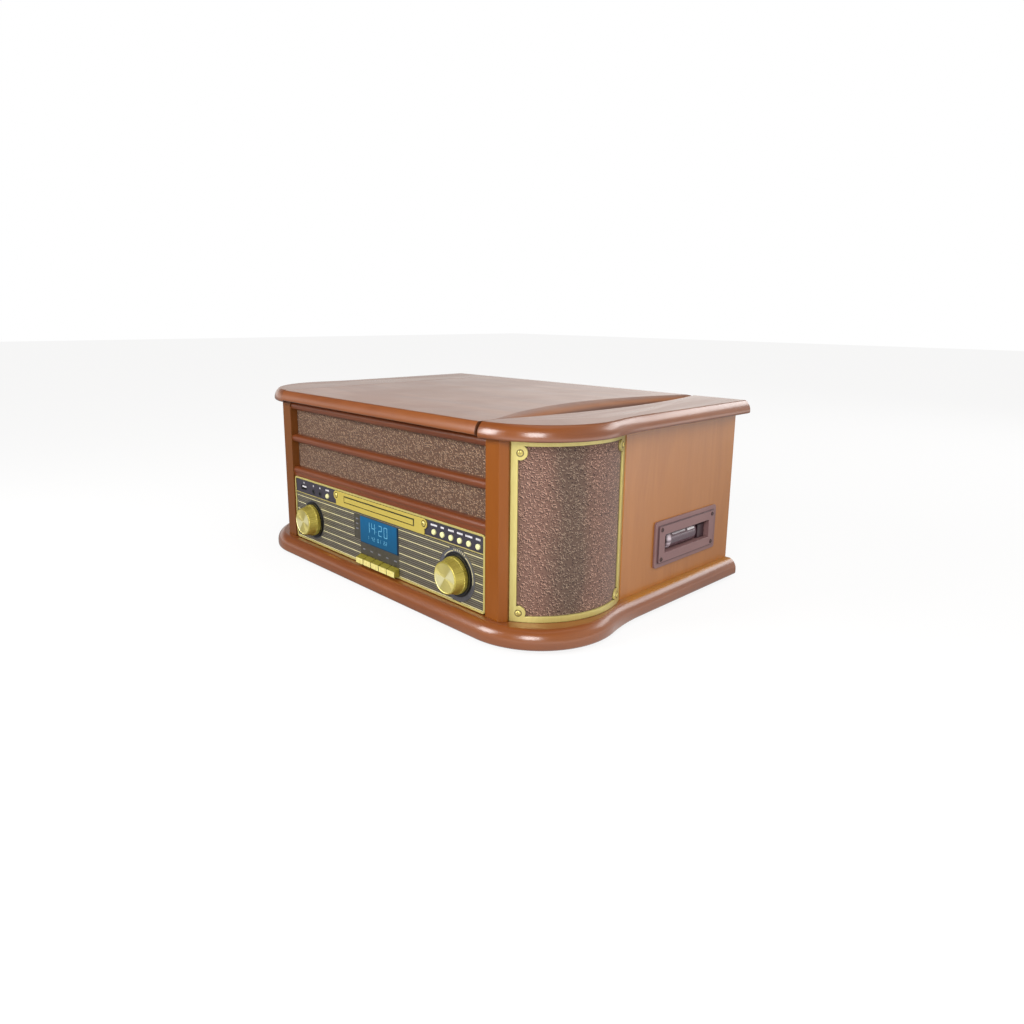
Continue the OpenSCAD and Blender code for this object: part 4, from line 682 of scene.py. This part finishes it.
# Plinth
def build_plinth():
    """Moulded plinth, lofted ring by ring up its edge section."""
    section = edge_section(PLINTH_H, crown_z=6.8, crown_r=PLINTH_H - 6.2, tip_r=3, low_r=3)
    section.append((section[-1][0] - 1.0, PLINTH_H))
    lobe_c, lobe_r, cove_r, overhang = (182.9, -93.9), 86.1, 204.0, 14.7
    points, faces, stored = [], [], []
    along = None
    for inward, z in section:
        half = lobed_outline(0.0, lobe_c, lobe_r, cove_r, SIDE_X + overhang, REAR_Y, -inward)
        ring = half + [(-x, y) for x, y in reversed(half[1:])]
        if not along:
            along = path_lengths(half)
            along += [-s for s in reversed(along[1:])]
        points += [(x, y, FEET_H + z) for x, y in ring]
        stored += [(s, inward * 2, z) for s in along]
    n = len(ring)
    last = len(section) - 1
    for k in range(last):
        join_rows(faces, k * n, (k + 1) * n, n)
    faces.append(tuple(range(n)))
    faces.append(tuple(range(last * n, last * n + n)))
    obj = make("plinth_moulded", points, faces, WOOD_MOULD, stored=stored)
    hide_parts("plinth")


# Side tops
def build_side_top(name, mirror, grooved, node):
    """Moulded top beside the lid; the grooved one has its part of the finger groove."""
    section = edge_section(TOP_T, crown_z=2.6, crown_r=TOP_T, tip_r=3, low_r=2.6)
    section.append((section[-1][0] - 1.0, TOP_T))
    lobe_c, lobe_r, cove_r, overhang = (180.3, -88.5), 86.8, 273.5, 14.9
    start = SEAM_X + SEAM / 2
    points, faces, stored = [], [], []
    along = None
    for inward, z in section:
        ring = lobed_outline(start, lobe_c, lobe_r, cove_r, SIDE_X + overhang, LID_REAR_Y, -inward)
        along = along or path_lengths(ring)
        points += [(x, y, WALL_Z + z) for x, y in ring]
        stored += [(s, inward * 2, z) for s in along]
    n = len(ring)
    last = len(section) - 1
    for k in range(last):
        join_rows(faces, k * n, (k + 1) * n, n, closed=False)
    low_rear, high_rear = len(points), len(points) + 1
    points += [(start, LID_REAR_Y, WALL_Z), (start, LID_REAR_Y, TOP_Z)]
    floor = edge = rear_patch = [high_rear]
    if grooved:
        floor, edge = groove_patch(start, 1, GROOVE_SIDE_W, 1.8, points, faces)
        rear_patch = list(range(floor[-1], edge[-1] + 1))
    faces.append(tuple([low_rear] + [k * n for k in range(last + 1)] + floor))
    faces.append(tuple([low_rear] + list(range(n))))
    faces.append(tuple([last * n] + edge + [last * n + i for i in range(n - 1, 0, -1)]))
    rear = [k * n + n - 1 for k in range(last + 1)]
    faces.append(tuple([low_rear] + rear + rear_patch[::-1]))
    stored += [(y, x, z) for x, y, z in points[len(stored):]]
    if mirror:
        points = [(-x, y, z) for x, y, z in points]
    rim = on_rim(start, 1, GROOVE_SIDE_W) if grooved else None
    obj = make(name, points, faces, WOOD_MOULD, rim=rim, stored=stored)
    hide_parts(node)


# Lid
def build_lid():
    """Lid with a moulded front edge and its part of the finger groove along the right seam."""
    edge_t = TOP_T - 2.4
    half = SEAM_X - SEAM / 2
    low_z, under_z = TOP_Z - edge_t, WALL_Z + 0.45
    profile = [(LID_FRONT_Y + 34.0, low_z)]
    profile += [(LID_FRONT_Y - x, low_z + z) for x, z in edge_section(edge_t, 2, edge_t + 1.5, 3, 2)]
    profile.append((profile[-1][0] + 1.0, TOP_Z))
    under = [(LID_REAR_Y, under_z), (LID_FRONT_Y + 30.0, under_z), (LID_FRONT_Y + 30.0, low_z)]
    points, faces = [], []
    n = len(profile)
    for x in (-half, half):
        points += [(x, y, z) for y, z in profile]
    join_rows(faces, 0, n, n, closed=False)
    m = len(points)
    for x in (-half, half):
        points += [(x, y, z) for y, z in under]
    faces += [(m, m + 1, m + 4, m + 3), (m + 1, m + 2, m + 5, m + 4), (m + 2, 0, n, m + 5)]
    left_rear = len(points)
    points.append((-half, LID_REAR_Y, TOP_Z))
    floor, edge = groove_patch(half, -1, GROOVE_LID_W, 0.75, points, faces)
    patch = list(range(floor[-1], edge[-1] + 1))
    faces.append(tuple(list(range(n)) + [left_rear, m, m + 1, m + 2]))
    faces.append(tuple(list(range(n, 2 * n)) + floor + [m + 3, m + 4, m + 5]))
    faces.append(tuple([n - 1, left_rear] + edge[::-1] + [2 * n - 1]))
    faces.append(tuple([m, left_rear] + patch[::-1] + [m + 3]))
    rim = on_rim(half, -1, GROOVE_LID_W)
    obj = make("lid_moulded", points, faces, WOOD_LID, body="lid", rim=rim)
    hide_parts("lid")


# Knobs
def build_knob(name, x, body, node):
    """Turned brass knob with a fine knurl near its base, drawn along its own Z with the face at the front."""
    steps, teeth, shaft_steps, shaft_r, shaft_len = 432, 72, 48, 3, 13.0
    profile = [(0.0, 18.5, 0.0), (0.25, 18.9, 1.0), (4.0, 18.9, 1.0), (4.5, 18.5, 0.0), (5.0, 18.2, 0.0),
               (13.4, 16.7, 0.1), (14.1, 16.4, 0.0), (14.6, 15.9, 0.0), (14.7, 15.4, 0.0), (14.55, 15.1, 0.0),
               (14.35, 14.8, 0.0), (14.1, 8.0, 0.0), (13.9, 1.2, 0.0)]
    points, faces = [], []
    for depth, r, knurl in profile:
        for i in range(steps):
            a = 2 * math.pi * i / steps
            wave = (abs((i * teeth / steps) % 1.0 - 0.5) * 2 - 0.5) * knurl
            points.append(((r + wave) * math.cos(a), (r + wave) * math.sin(a), depth))
    last = len(profile) - 1
    for k in range(last):
        join_rows(faces, k * steps, (k + 1) * steps, steps)
    faces.append(tuple(range(last * steps, last * steps + steps)))
    faces.append(tuple(range(steps - 1, -1, -1)))
    shaft = len(points)
    turns = [2 * math.pi * i / shaft_steps for i in range(shaft_steps)]
    for depth in (0.0, -shaft_len):
        points += [(shaft_r * math.cos(a), shaft_r * math.sin(a), depth) for a in turns]
    join_rows(faces, shaft + shaft_steps, shaft, shaft_steps)
    faces.append(tuple(range(shaft + shaft_steps - 1, shaft - 1, -1)))
    faces.append(tuple(range(shaft + shaft_steps, shaft + 2 * shaft_steps)))
    obj = make(name, points, faces, KNOB_BRASS, sharp=24.0, body=None)
    centre = Matrix.Translation(Vector((x, KNOB_Y, KNOB_Z)) * MM)
    obj.matrix_world = centre @ Matrix.Rotation(math.pi / 2, 4, "X")
    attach(obj, body)
    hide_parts(node)


# Loudspeaker cloth
def sheet_piece(name, grid):
    """A thin stretched cloth from a grid of (front, rear) point pairs."""
    points = [p[side] for side in (0, 1) for row in grid for p in row]
    obj = make(name, points, sheet_faces(len(grid), len(grid[0])), CLOTH)
    return obj


def build_cloth():
    """Two curved cloth panels in the corners and two flat strips between the rails."""
    z0, z1 = SEAT_Z + 0.05, CLOTH_TOP_Z
    for name, side in (("cloth_corner_right", 1), ("cloth_corner_left", -1)):
        grid = []
        for i in range(73):
            a = math.radians(SPK_A0 + (SPK_A1 - SPK_A0) * i / 72)
            row = []
            for j in range(19):
                z = z0 + (z1 - z0) * j / 18
                row.append([(side * (SPK_C[0] + r * math.cos(a)), SPK_C[1] + r * math.sin(a), z)
                            for r in (CLOTH_R, CLOTH_R - CLOTH_T)])
            grid.append(row)
        sheet_piece(name, grid)
    half = STRIP_HALF_W
    for name, low, high in (("cloth_strip_lower", 115.2, 146.4), ("cloth_strip_upper", 156.4, 187.6)):
        grid = [[[(-half + 2 * half * i / 60, y, low + (high - low) * j / 8) for y in STRIP_Y]
                 for j in range(9)] for i in range(61)]
        sheet_piece(name, grid)
    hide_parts("cloth_panels")


# Dial print
def print_depth(y, lift=0.05):
    """Front and back of print that stands a little proud of a face at y."""
    return y - lift, y + 0.02


def slabs(name, boxes, front, back, material, slot):
    """Thin flat bars on the dial, one for each (x0, x1, z0, z1)."""
    points, faces = [], []
    for box in boxes:
        add_box(points, faces, [(x, y, z) for y in (front, back) for x, z in corners(*box)])
    obj = make(name, points, faces, material)


def clear_spans(z):
    """Spans of a dial line at height z, left clear of the knob rounds, the display and the small marks."""
    end = 177.0
    holes = []
    for x in (-KNOB_X, KNOB_X):
        h = (28.2 if x > 0 else 24.6) ** 2 - (z - KNOB_Z) ** 2
        if h > 0:
            holes.append((x - math.sqrt(h), x + math.sqrt(h)))
    if z < 80.5:
        holes.append((LCD_C[0] - LCD_W / 2 - 1.2, LCD_C[0] + LCD_W / 2 + 1.2))
    if 50 < z < 80.5:
        holes.append((-46.0, -30.0))
    spans, x = [], -end
    for a, b in sorted(holes):
        if a > x:
            spans.append((x, min(a, end)))
        x = max(x, b)
    if x < end:
        spans.append((x, end))
    return [s for s in spans if s[1] - s[0] > 1.0]


def build_stripes():
    """Level dial lines: every fourth is gold and a little thicker, the others dim."""
    bright, dim = [], []
    z, end_z, pitch, k = 25.44, 81.8, 2.22, 0
    while z < end_z:
        width = 0.5 if k % 4 == 0 else 0.34
        for a, b in clear_spans(z):
            (bright if k % 4 == 0 else dim).append((a, b, z - width, z + width))
        z += pitch
        k += 1
    slabs("dial_lines_gold", bright, *print_depth(PLATE_Y), STRIPE, "brass")
    slabs("dial_lines_dim", dim, *print_depth(PLATE_Y, 0.04), STRIPE_DIM, "dark_plastic")


def ring_bands(name, centre, spans, front, back, material, slot):
    """Thin arcs of print on the dial, one for each (inner radius, outer radius, first angle, last angle)."""
    points, faces = [], []
    for r0, r1, a0, a1 in spans:
        n = max(2, round((a1 - a0) / 2))
        k = len(points)
        for i in range(n + 1):
            for r in (r0, r1):
                x, z = polar(centre, r, a0 + (a1 - a0) * i / n)
                points += [(x, front, z), (x, back, z)]
        for i in range(n):
            a, b = k + 4 * i, k + 4 * i + 4
            faces += [(a, a + 2, b + 2, b), (a + 1, b + 1, b + 3, a + 3)]
            faces += [(a, b, b + 1, a + 1), (a + 2, a + 3, b + 3, b + 2)]
        m = k + 4 * n
        faces += [(k, k + 1, k + 3, k + 2), (m, m + 2, m + 3, m + 1)]
    obj = make(name, points, faces, material)


SEGMENTS = {"0": "abcdef", "1": "bc", "2": "abged", "4": "fgbc"}


def seven_segment(text, x, z, w, h, t, pitch):
    """Boxes for seven-segment figures with their lower left corner at (x, z)."""
    out = []
    g, m = 0.35 * t, h / 2
    for c in text:
        if c == ":":
            dot = x - 0.2 * pitch
            out += [(dot, dot + t, z + h * share, z + h * share + t) for share in (0.26, 0.64)]
            x += pitch * 0.3
            continue
        if c == " ":
            x += pitch
            continue
        level = (x + g + t * 0.4, x + w - g - t * 0.4)
        left, right = (x, x + t), (x + w - t, x + w)
        upper, lower = (z + m + g, z + h - g), (z + g, z + m - g)
        where = {"a": level + (z + h - t, z + h), "d": level + (z, z + t),
                 "g": level + (z + m - t / 2, z + m + t / 2),
                 "f": left + upper, "b": right + upper, "e": left + lower, "c": right + lower}
        out += [where[k] for k in SEGMENTS[c]]
        x += pitch
    return out


def build_drawer_edge():
    """Painted shade as lines where the disc drawer's front meets its surround, and the data socket's tongue.

    The lines are broad, dark painted shadow above and on the right, and thin, olive painted shade below and
    on the left.
    """
    x0, x1, z0, z1 = DRAWER
    # painted shadow in the gap above and right of the drawer's front; lighter olive painted shade below and
    # left
    dark = [(x0 - 0.2, x1 + 0.9, z1 - 0.1, z1 + 0.75), (x1 - 0.1, x1 + 0.9, z0 - 0.2, z1 + 0.75)]
    olive = [(x0 - 0.2, x1 + 0.9, z0 - 0.35, z0 + 0.1), (x0 - 0.5, x0 + 0.1, z0 - 0.2, z1 + 0.75)]
    slabs("drawer_shade_line", dark, *print_depth(DRAWER_Y, 0.06), BLACK_PLASTIC, "dark_plastic")
    slabs("drawer_shade_line_low", olive, *print_depth(DRAWER_Y), OLIVE_SHADE, "dark_plastic")
    slabs("usb_tongue", [(-163.6, -154.2, 90.9, 92.5)], -163.2, -151.9, PRINT, "dark_plastic")


def build_print():
    """The display's figures, the arc and ticks at the volume knob, and dashes in place of printed words."""
    left, low = LCD_C[0] - LCD_W / 2, LCD_C[1] - LCD_H / 2
    figures = seven_segment("14:20", left + 0.17 * LCD_W, low + 0.47 * LCD_H, 6.4, 12.2, 0.75, 10.4)
    small = seven_segment("1 42 01 22", left + 0.2 * LCD_W, low + 0.2 * LCD_H, 2.3, 4.2, 0.42, 3.9)
    slabs("display_figures", figures, *print_depth(LCD_Y), DIGITS, "display")
    slabs("display_second_line", small, *print_depth(LCD_Y), DIGITS, "display")
    spans = [(23.9, 24.7, -12, 58), (23.9, 24.7, 104, 140)]
    spans += [(24.4, 26.6, a, a + 2.2) for a in range(62, 101, 6)]
    ring_bands("dial_arc", (KNOB_X, KNOB_Z), spans, *print_depth(PLATE_Y), STRIPE, "brass")
    marks = []

    def row(x, z, count, w, h, step):
        for i in range(count):
            x0 = x + (i - count / 2) * step
            marks.append((x0, x0 + w, z - h / 2, z + h / 2))

    for i in range(6):
        row(BUTTON_X + BUTTON_PITCH * i, 96.6, (6, 3, 5, 5, 6, 4)[i], 1.3, 2.0, 1.75)
    row(-102.7, 96.6, 5, 1.2, 1.8, 1.6)
    row(-158.9, 96.8, 1, 2.0, 1.6, 1.0)
    for x in (-135.7, -120.2):
        row(x, 96.4, 1, 1.8, 1.8, 1.0)
    slabs("field_marks", marks, *print_depth(FIELD_Y), PRINT, "dark_plastic")
    marks = []
    for i in range(5):
        row(LCD_C[0] + KEY_PITCH * (i - 2), 40.6, 3, 1.1, 1.5, 1.6)
    for z in (74.5, 68.6, 62.8):
        row(-39.5, z, 3, 1.1, 1.5, 1.6)
    slabs("dial_marks", marks, *print_depth(PLATE_Y), PRINT_DIM, "dark_plastic")


# Cassette flap
def build_flap():
    """Bowed smoky flap with rounded ends on its thin rod."""
    y0, y1, z0, z1 = 48.2, 104.2, 59.7, 76.5
    bow_x, bow_z, bow, t = 231.3, 67.9, 14.0, 1.6
    round_len, round_fall = 5.0, 2.2
    rod_x, rod_z, rod_steps, rod_ends = 242.8, 76.15, 24, (35.0, 125.4)
    rows, cols = 16, 60

    def outside(z):
        return bow_x + math.sqrt(bow * bow - (z - bow_z) ** 2)

    points = []
    for layer in (0.0, t):
        for i in range(rows + 1):
            z = z0 + (z1 - z0) * i / rows
            for j in range(cols + 1):
                y = y0 + (y1 - y0) * j / cols
                end = min(y - y0, y1 - y, round_len)
                fall = round_fall * (1 - math.sqrt(max(0.0, 1 - (1 - end / round_len) ** 2)))
                points.append((outside(z) - fall - layer, y, z))
    faces = sheet_faces(rows + 1, cols + 1)
    rod = len(points)
    turns = [2 * math.pi * i / rod_steps for i in range(rod_steps)]
    for y in rod_ends:
        points += [(rod_x + math.cos(a), y, rod_z + math.sin(a)) for a in turns]
    join_rows(faces, rod, rod + rod_steps, rod_steps)
    faces.append(tuple(range(rod, rod + rod_steps)))
    faces.append(tuple(range(rod + 2 * rod_steps - 1, rod + rod_steps - 1, -1)))
    obj = make("flap_smoky", points, faces, SMOKY, body="cassette_flap")
    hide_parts("cassette_flap")

    # Pale dashes stand for printed words along the top; the pale bar at the upper right is a painted
    # highlight.
    marks = [(56.5 + 2.1 * i, 57.7 + 2.1 * i, 73.4, 75.0) for i in range(12)] + [(85.5, 99.0, 72.6, 74.8)]
    points, faces = [], []
    for mark in marks:
        around = corners(*mark)
        add_box(points, faces, [(outside(z) + lift, y, z) for lift in (0.06, -0.3) for y, z in around])
    obj = make("flap_print_and_highlight", points, faces, PRINT, body="cassette_flap")


build_plinth()
build_side_top("side_top_right_moulded", False, True, "side_top_right")
build_side_top("side_top_left_moulded", True, False, "side_top_left")
build_lid()
build_knob("knob_left_turned", -KNOB_X, "knob_tuning", "knob_tuning")
build_knob("knob_right_turned", KNOB_X, "knob_volume", "knob_volume")
build_cloth()
build_stripes()
build_print()
build_drawer_edge()
build_flap()

# Finishes of the solids that stay
FINISH = {
    WOOD_SIDE: ["side_panel_left", "side_panel_right"],
    WOOD_POST: ["front_posts"],
    WOOD_RAIL: ["front_rails"],
    WOOD_INNER: ["grille_board", "back_panel", "well_walls", "speaker_baffles"],
    FRAME_BRASS: ["speaker_frame_left", "speaker_frame_right", "dial_bezel"],
    PLATE_BRASS: ["cd_plate"],
    DRAWER_FRONT: ["cd_tray"],
    SCREW_BRASS: ["trim_screws"],
    DIAL: ["dial_plate"],
    DISPLAY: ["lcd_display"],
    CREAM: ["power_button"] + ["button_%d" % i for i in range(1, 7)],
    KEY_GOLD: ["key_%d" % i for i in range(1, 6)],
    BEZEL_PLASTIC: ["cassette_bezel"],
    TAPE_DARK: ["tape_button"],
    BLACK_PLASTIC: ["cassette_deck", "deck_plate", "tonearm_base", "arm_gimbal", "speed_switch",
                    "rear_sockets", "front_sockets"],
    GREY_PLASTIC: ["cd_drive", "cue_lever"],
    RUBBER: ["rubber_feet", "drive_belt"],
    STEEL: ["tonearm", "hinge_leaves", "lid_leaves", "transformer", "turntable_motor", "motor_pulley"],
    CONE: ["speaker_drivers"],
    BOARD: ["control_board", "main_board"],
    PLATTER_GREY: ["platter"],
    MAT: ["platter_mat"],
}
for finish, names in FINISH.items():
    for name in names:
        obj = nodes[name]
        if not obj.material_slots:
            obj.data.materials.append(finish)
        for held in obj.material_slots:
            held.material = finish


# Camera, floor and light
def build_camera():
    """The photograph's camera, as solved from the cabinet's straight edges."""
    yaw, pitch, roll = (math.radians(a) for a in (45.84, 12.09, 0.50))
    forward = Vector((-math.sin(yaw) * math.cos(pitch), math.cos(yaw) * math.cos(pitch), -math.sin(pitch)))
    right = Vector((math.cos(yaw), math.sin(yaw), 0))
    up = right.cross(forward)
    across = right * math.cos(roll) + up * math.sin(roll)
    above = up * math.cos(roll) - right * math.sin(roll)
    data = bpy.data.cameras.new("camera")
    data.lens, data.sensor_width = 26.272, 36.0
    data.shift_x, data.shift_y = 0.0077, -0.0374
    data.clip_start = 0.02
    cam = in_scene("camera", data)
    rows = Matrix((across, above, -forward)).transposed().to_4x4()
    cam.matrix_world = Matrix.Translation((0.6793, -0.6244, 0.3083)) @ rows
    bpy.context.scene.camera = cam


def studio_gradient(tree, vector, low, high, start, end, way=(0.8, 0.6, 0.0)):
    """Brightness from low to high along a level way; the usual one leads from front left to back right."""
    toward = tree_node(tree, "VectorMath", {0: vector, 1: way}, operation="DOT_PRODUCT").outputs["Value"]
    return map_range(tree, toward, start, end, low, high)


def build_floor():
    """Pale floor: white to the camera but for a faint shadow, and a soft brightness in reflections."""
    mesh = bpy.data.meshes.new("floor")
    bm = bmesh.new()
    bmesh.ops.create_grid(bm, x_segments=8, y_segments=8, size=8.0)
    bm.to_mesh(mesh)
    bm.free()
    floor = in_scene("floor", mesh)
    mat = bpy.data.materials.new("floor_pale")
    mat.use_nodes = True
    tree = mat.node_tree
    shader = tree.nodes["Principled BSDF"]
    shader.inputs["Roughness"].default_value = 0.9
    shader.inputs["Specular IOR Level"].default_value = 0.0
    path = tree_node(tree, "LightPath").outputs
    names = {0: path["Is Camera Ray"], 6: (0.34, 0.33, 0.32, 1), 7: (0.9, 0.9, 0.9, 1)}
    pale = tree_node(tree, "Mix", names, data_type="RGBA").outputs[2]
    tree.links.new(pale, shader.inputs["Base Color"])
    seen = math_node(tree, "MULTIPLY", path["Is Camera Ray"], 0.85)
    white = tree_node(tree, "Emission").outputs[0]
    mixed = tree_node(tree, "MixShader", {0: seen, 1: shader.outputs[0], 2: white}).outputs[0]
    place = tree_node(tree, "TexCoord").outputs["Object"]
    shine = studio_gradient(tree, place, 0.32, 2.2, 0.1, 0.6, (1.0, -0.4, 0.0))
    glow = tree_node(tree, "Emission", {"Strength": shine}).outputs[0]
    glossy = math_node(tree, "MAXIMUM", path["Is Glossy Ray"], path["Is Transmission Ray"])
    mixed = tree_node(tree, "MixShader", {0: glossy, 1: mixed, 2: glow}).outputs[0]
    tree.links.new(mixed, tree.nodes["Material Output"].inputs["Surface"])
    mesh.materials.append(mat)


def build_world():
    """White to the camera; a low bright band in reflections; a soft gradient in the light."""
    world = bpy.data.worlds.new("studio")
    bpy.context.scene.world = world
    world.use_nodes = True
    tree = world.node_tree
    back = tree.nodes["Background"]
    back.inputs["Color"].default_value = (1.0, 0.96, 0.92, 1)
    place = tree_node(tree, "TexCoord").outputs["Generated"]
    path = tree_node(tree, "LightPath").outputs
    side = studio_gradient(tree, place, 0.12, 0.85, 0.15, 0.95)
    z = tree_node(tree, "SeparateXYZ", {0: place}).outputs[2]
    low_band = map_range(tree, z, 0.14, 0.34, 1.2, 0.0)
    right = studio_gradient(tree, place, 0.72, 1.1, -0.3, 0.1)
    far_right = studio_gradient(tree, place, 1.0, 0.5, 0.3, 0.8)
    for share in (right, far_right):
        low_band = math_node(tree, "MULTIPLY", low_band, share)
    both = math_node(tree, "MAXIMUM", side, low_band)
    soft = studio_gradient(tree, place, 0.26, 1.1, -0.4, 0.9)
    names = {0: path["Is Glossy Ray"], 2: soft, 3: both}
    strength = tree_node(tree, "Mix", names, data_type="FLOAT").outputs[0]
    tree.links.new(strength, back.inputs["Strength"])
    white = tree_node(tree, "Background", {"Color": (1, 1, 1, 1)}).outputs[0]
    names = {0: path["Is Camera Ray"], 1: back.outputs[0], 2: white}
    mixed = tree_node(tree, "MixShader", names).outputs[0]
    tree.links.new(mixed, tree.nodes["World Output"].inputs["Surface"])


def softbox(name, direction, distance, size, watts, target):
    """A rectangular lamp that shines on a target from a direction."""
    data = bpy.data.lights.new(name, "AREA")
    data.shape = "RECTANGLE"
    data.size, data.size_y = size
    data.energy = watts
    obj = in_scene(name, data)
    aim = Vector(target)
    obj.location = aim + Vector(direction).normalized() * distance
    obj.rotation_euler = (aim - obj.location).to_track_quat("-Z", "Y").to_euler()


build_camera()
build_floor()
build_world()
CORNER = (0.19, -0.16, 0.11)
softbox("softbox_left", (-0.46, -0.80, 0.42), 1.2, (0.46, 0.56), 10.2, CORNER)
softbox("softbox_front", (0.52, -0.70, 0.48), 1.2, (0.46, 0.56), 10.8, CORNER)
softbox("softbox_back", (0.27, 0.84, 0.47), 2.2, (1.5, 0.6), 10.0, CORNER)
softbox("softbox_top", (0.0, 0.1, 1.0), 2.4, (1.8, 1.8), 6, (0, 0, 0.1))
bpy.context.scene.view_settings.view_transform = "Standard"
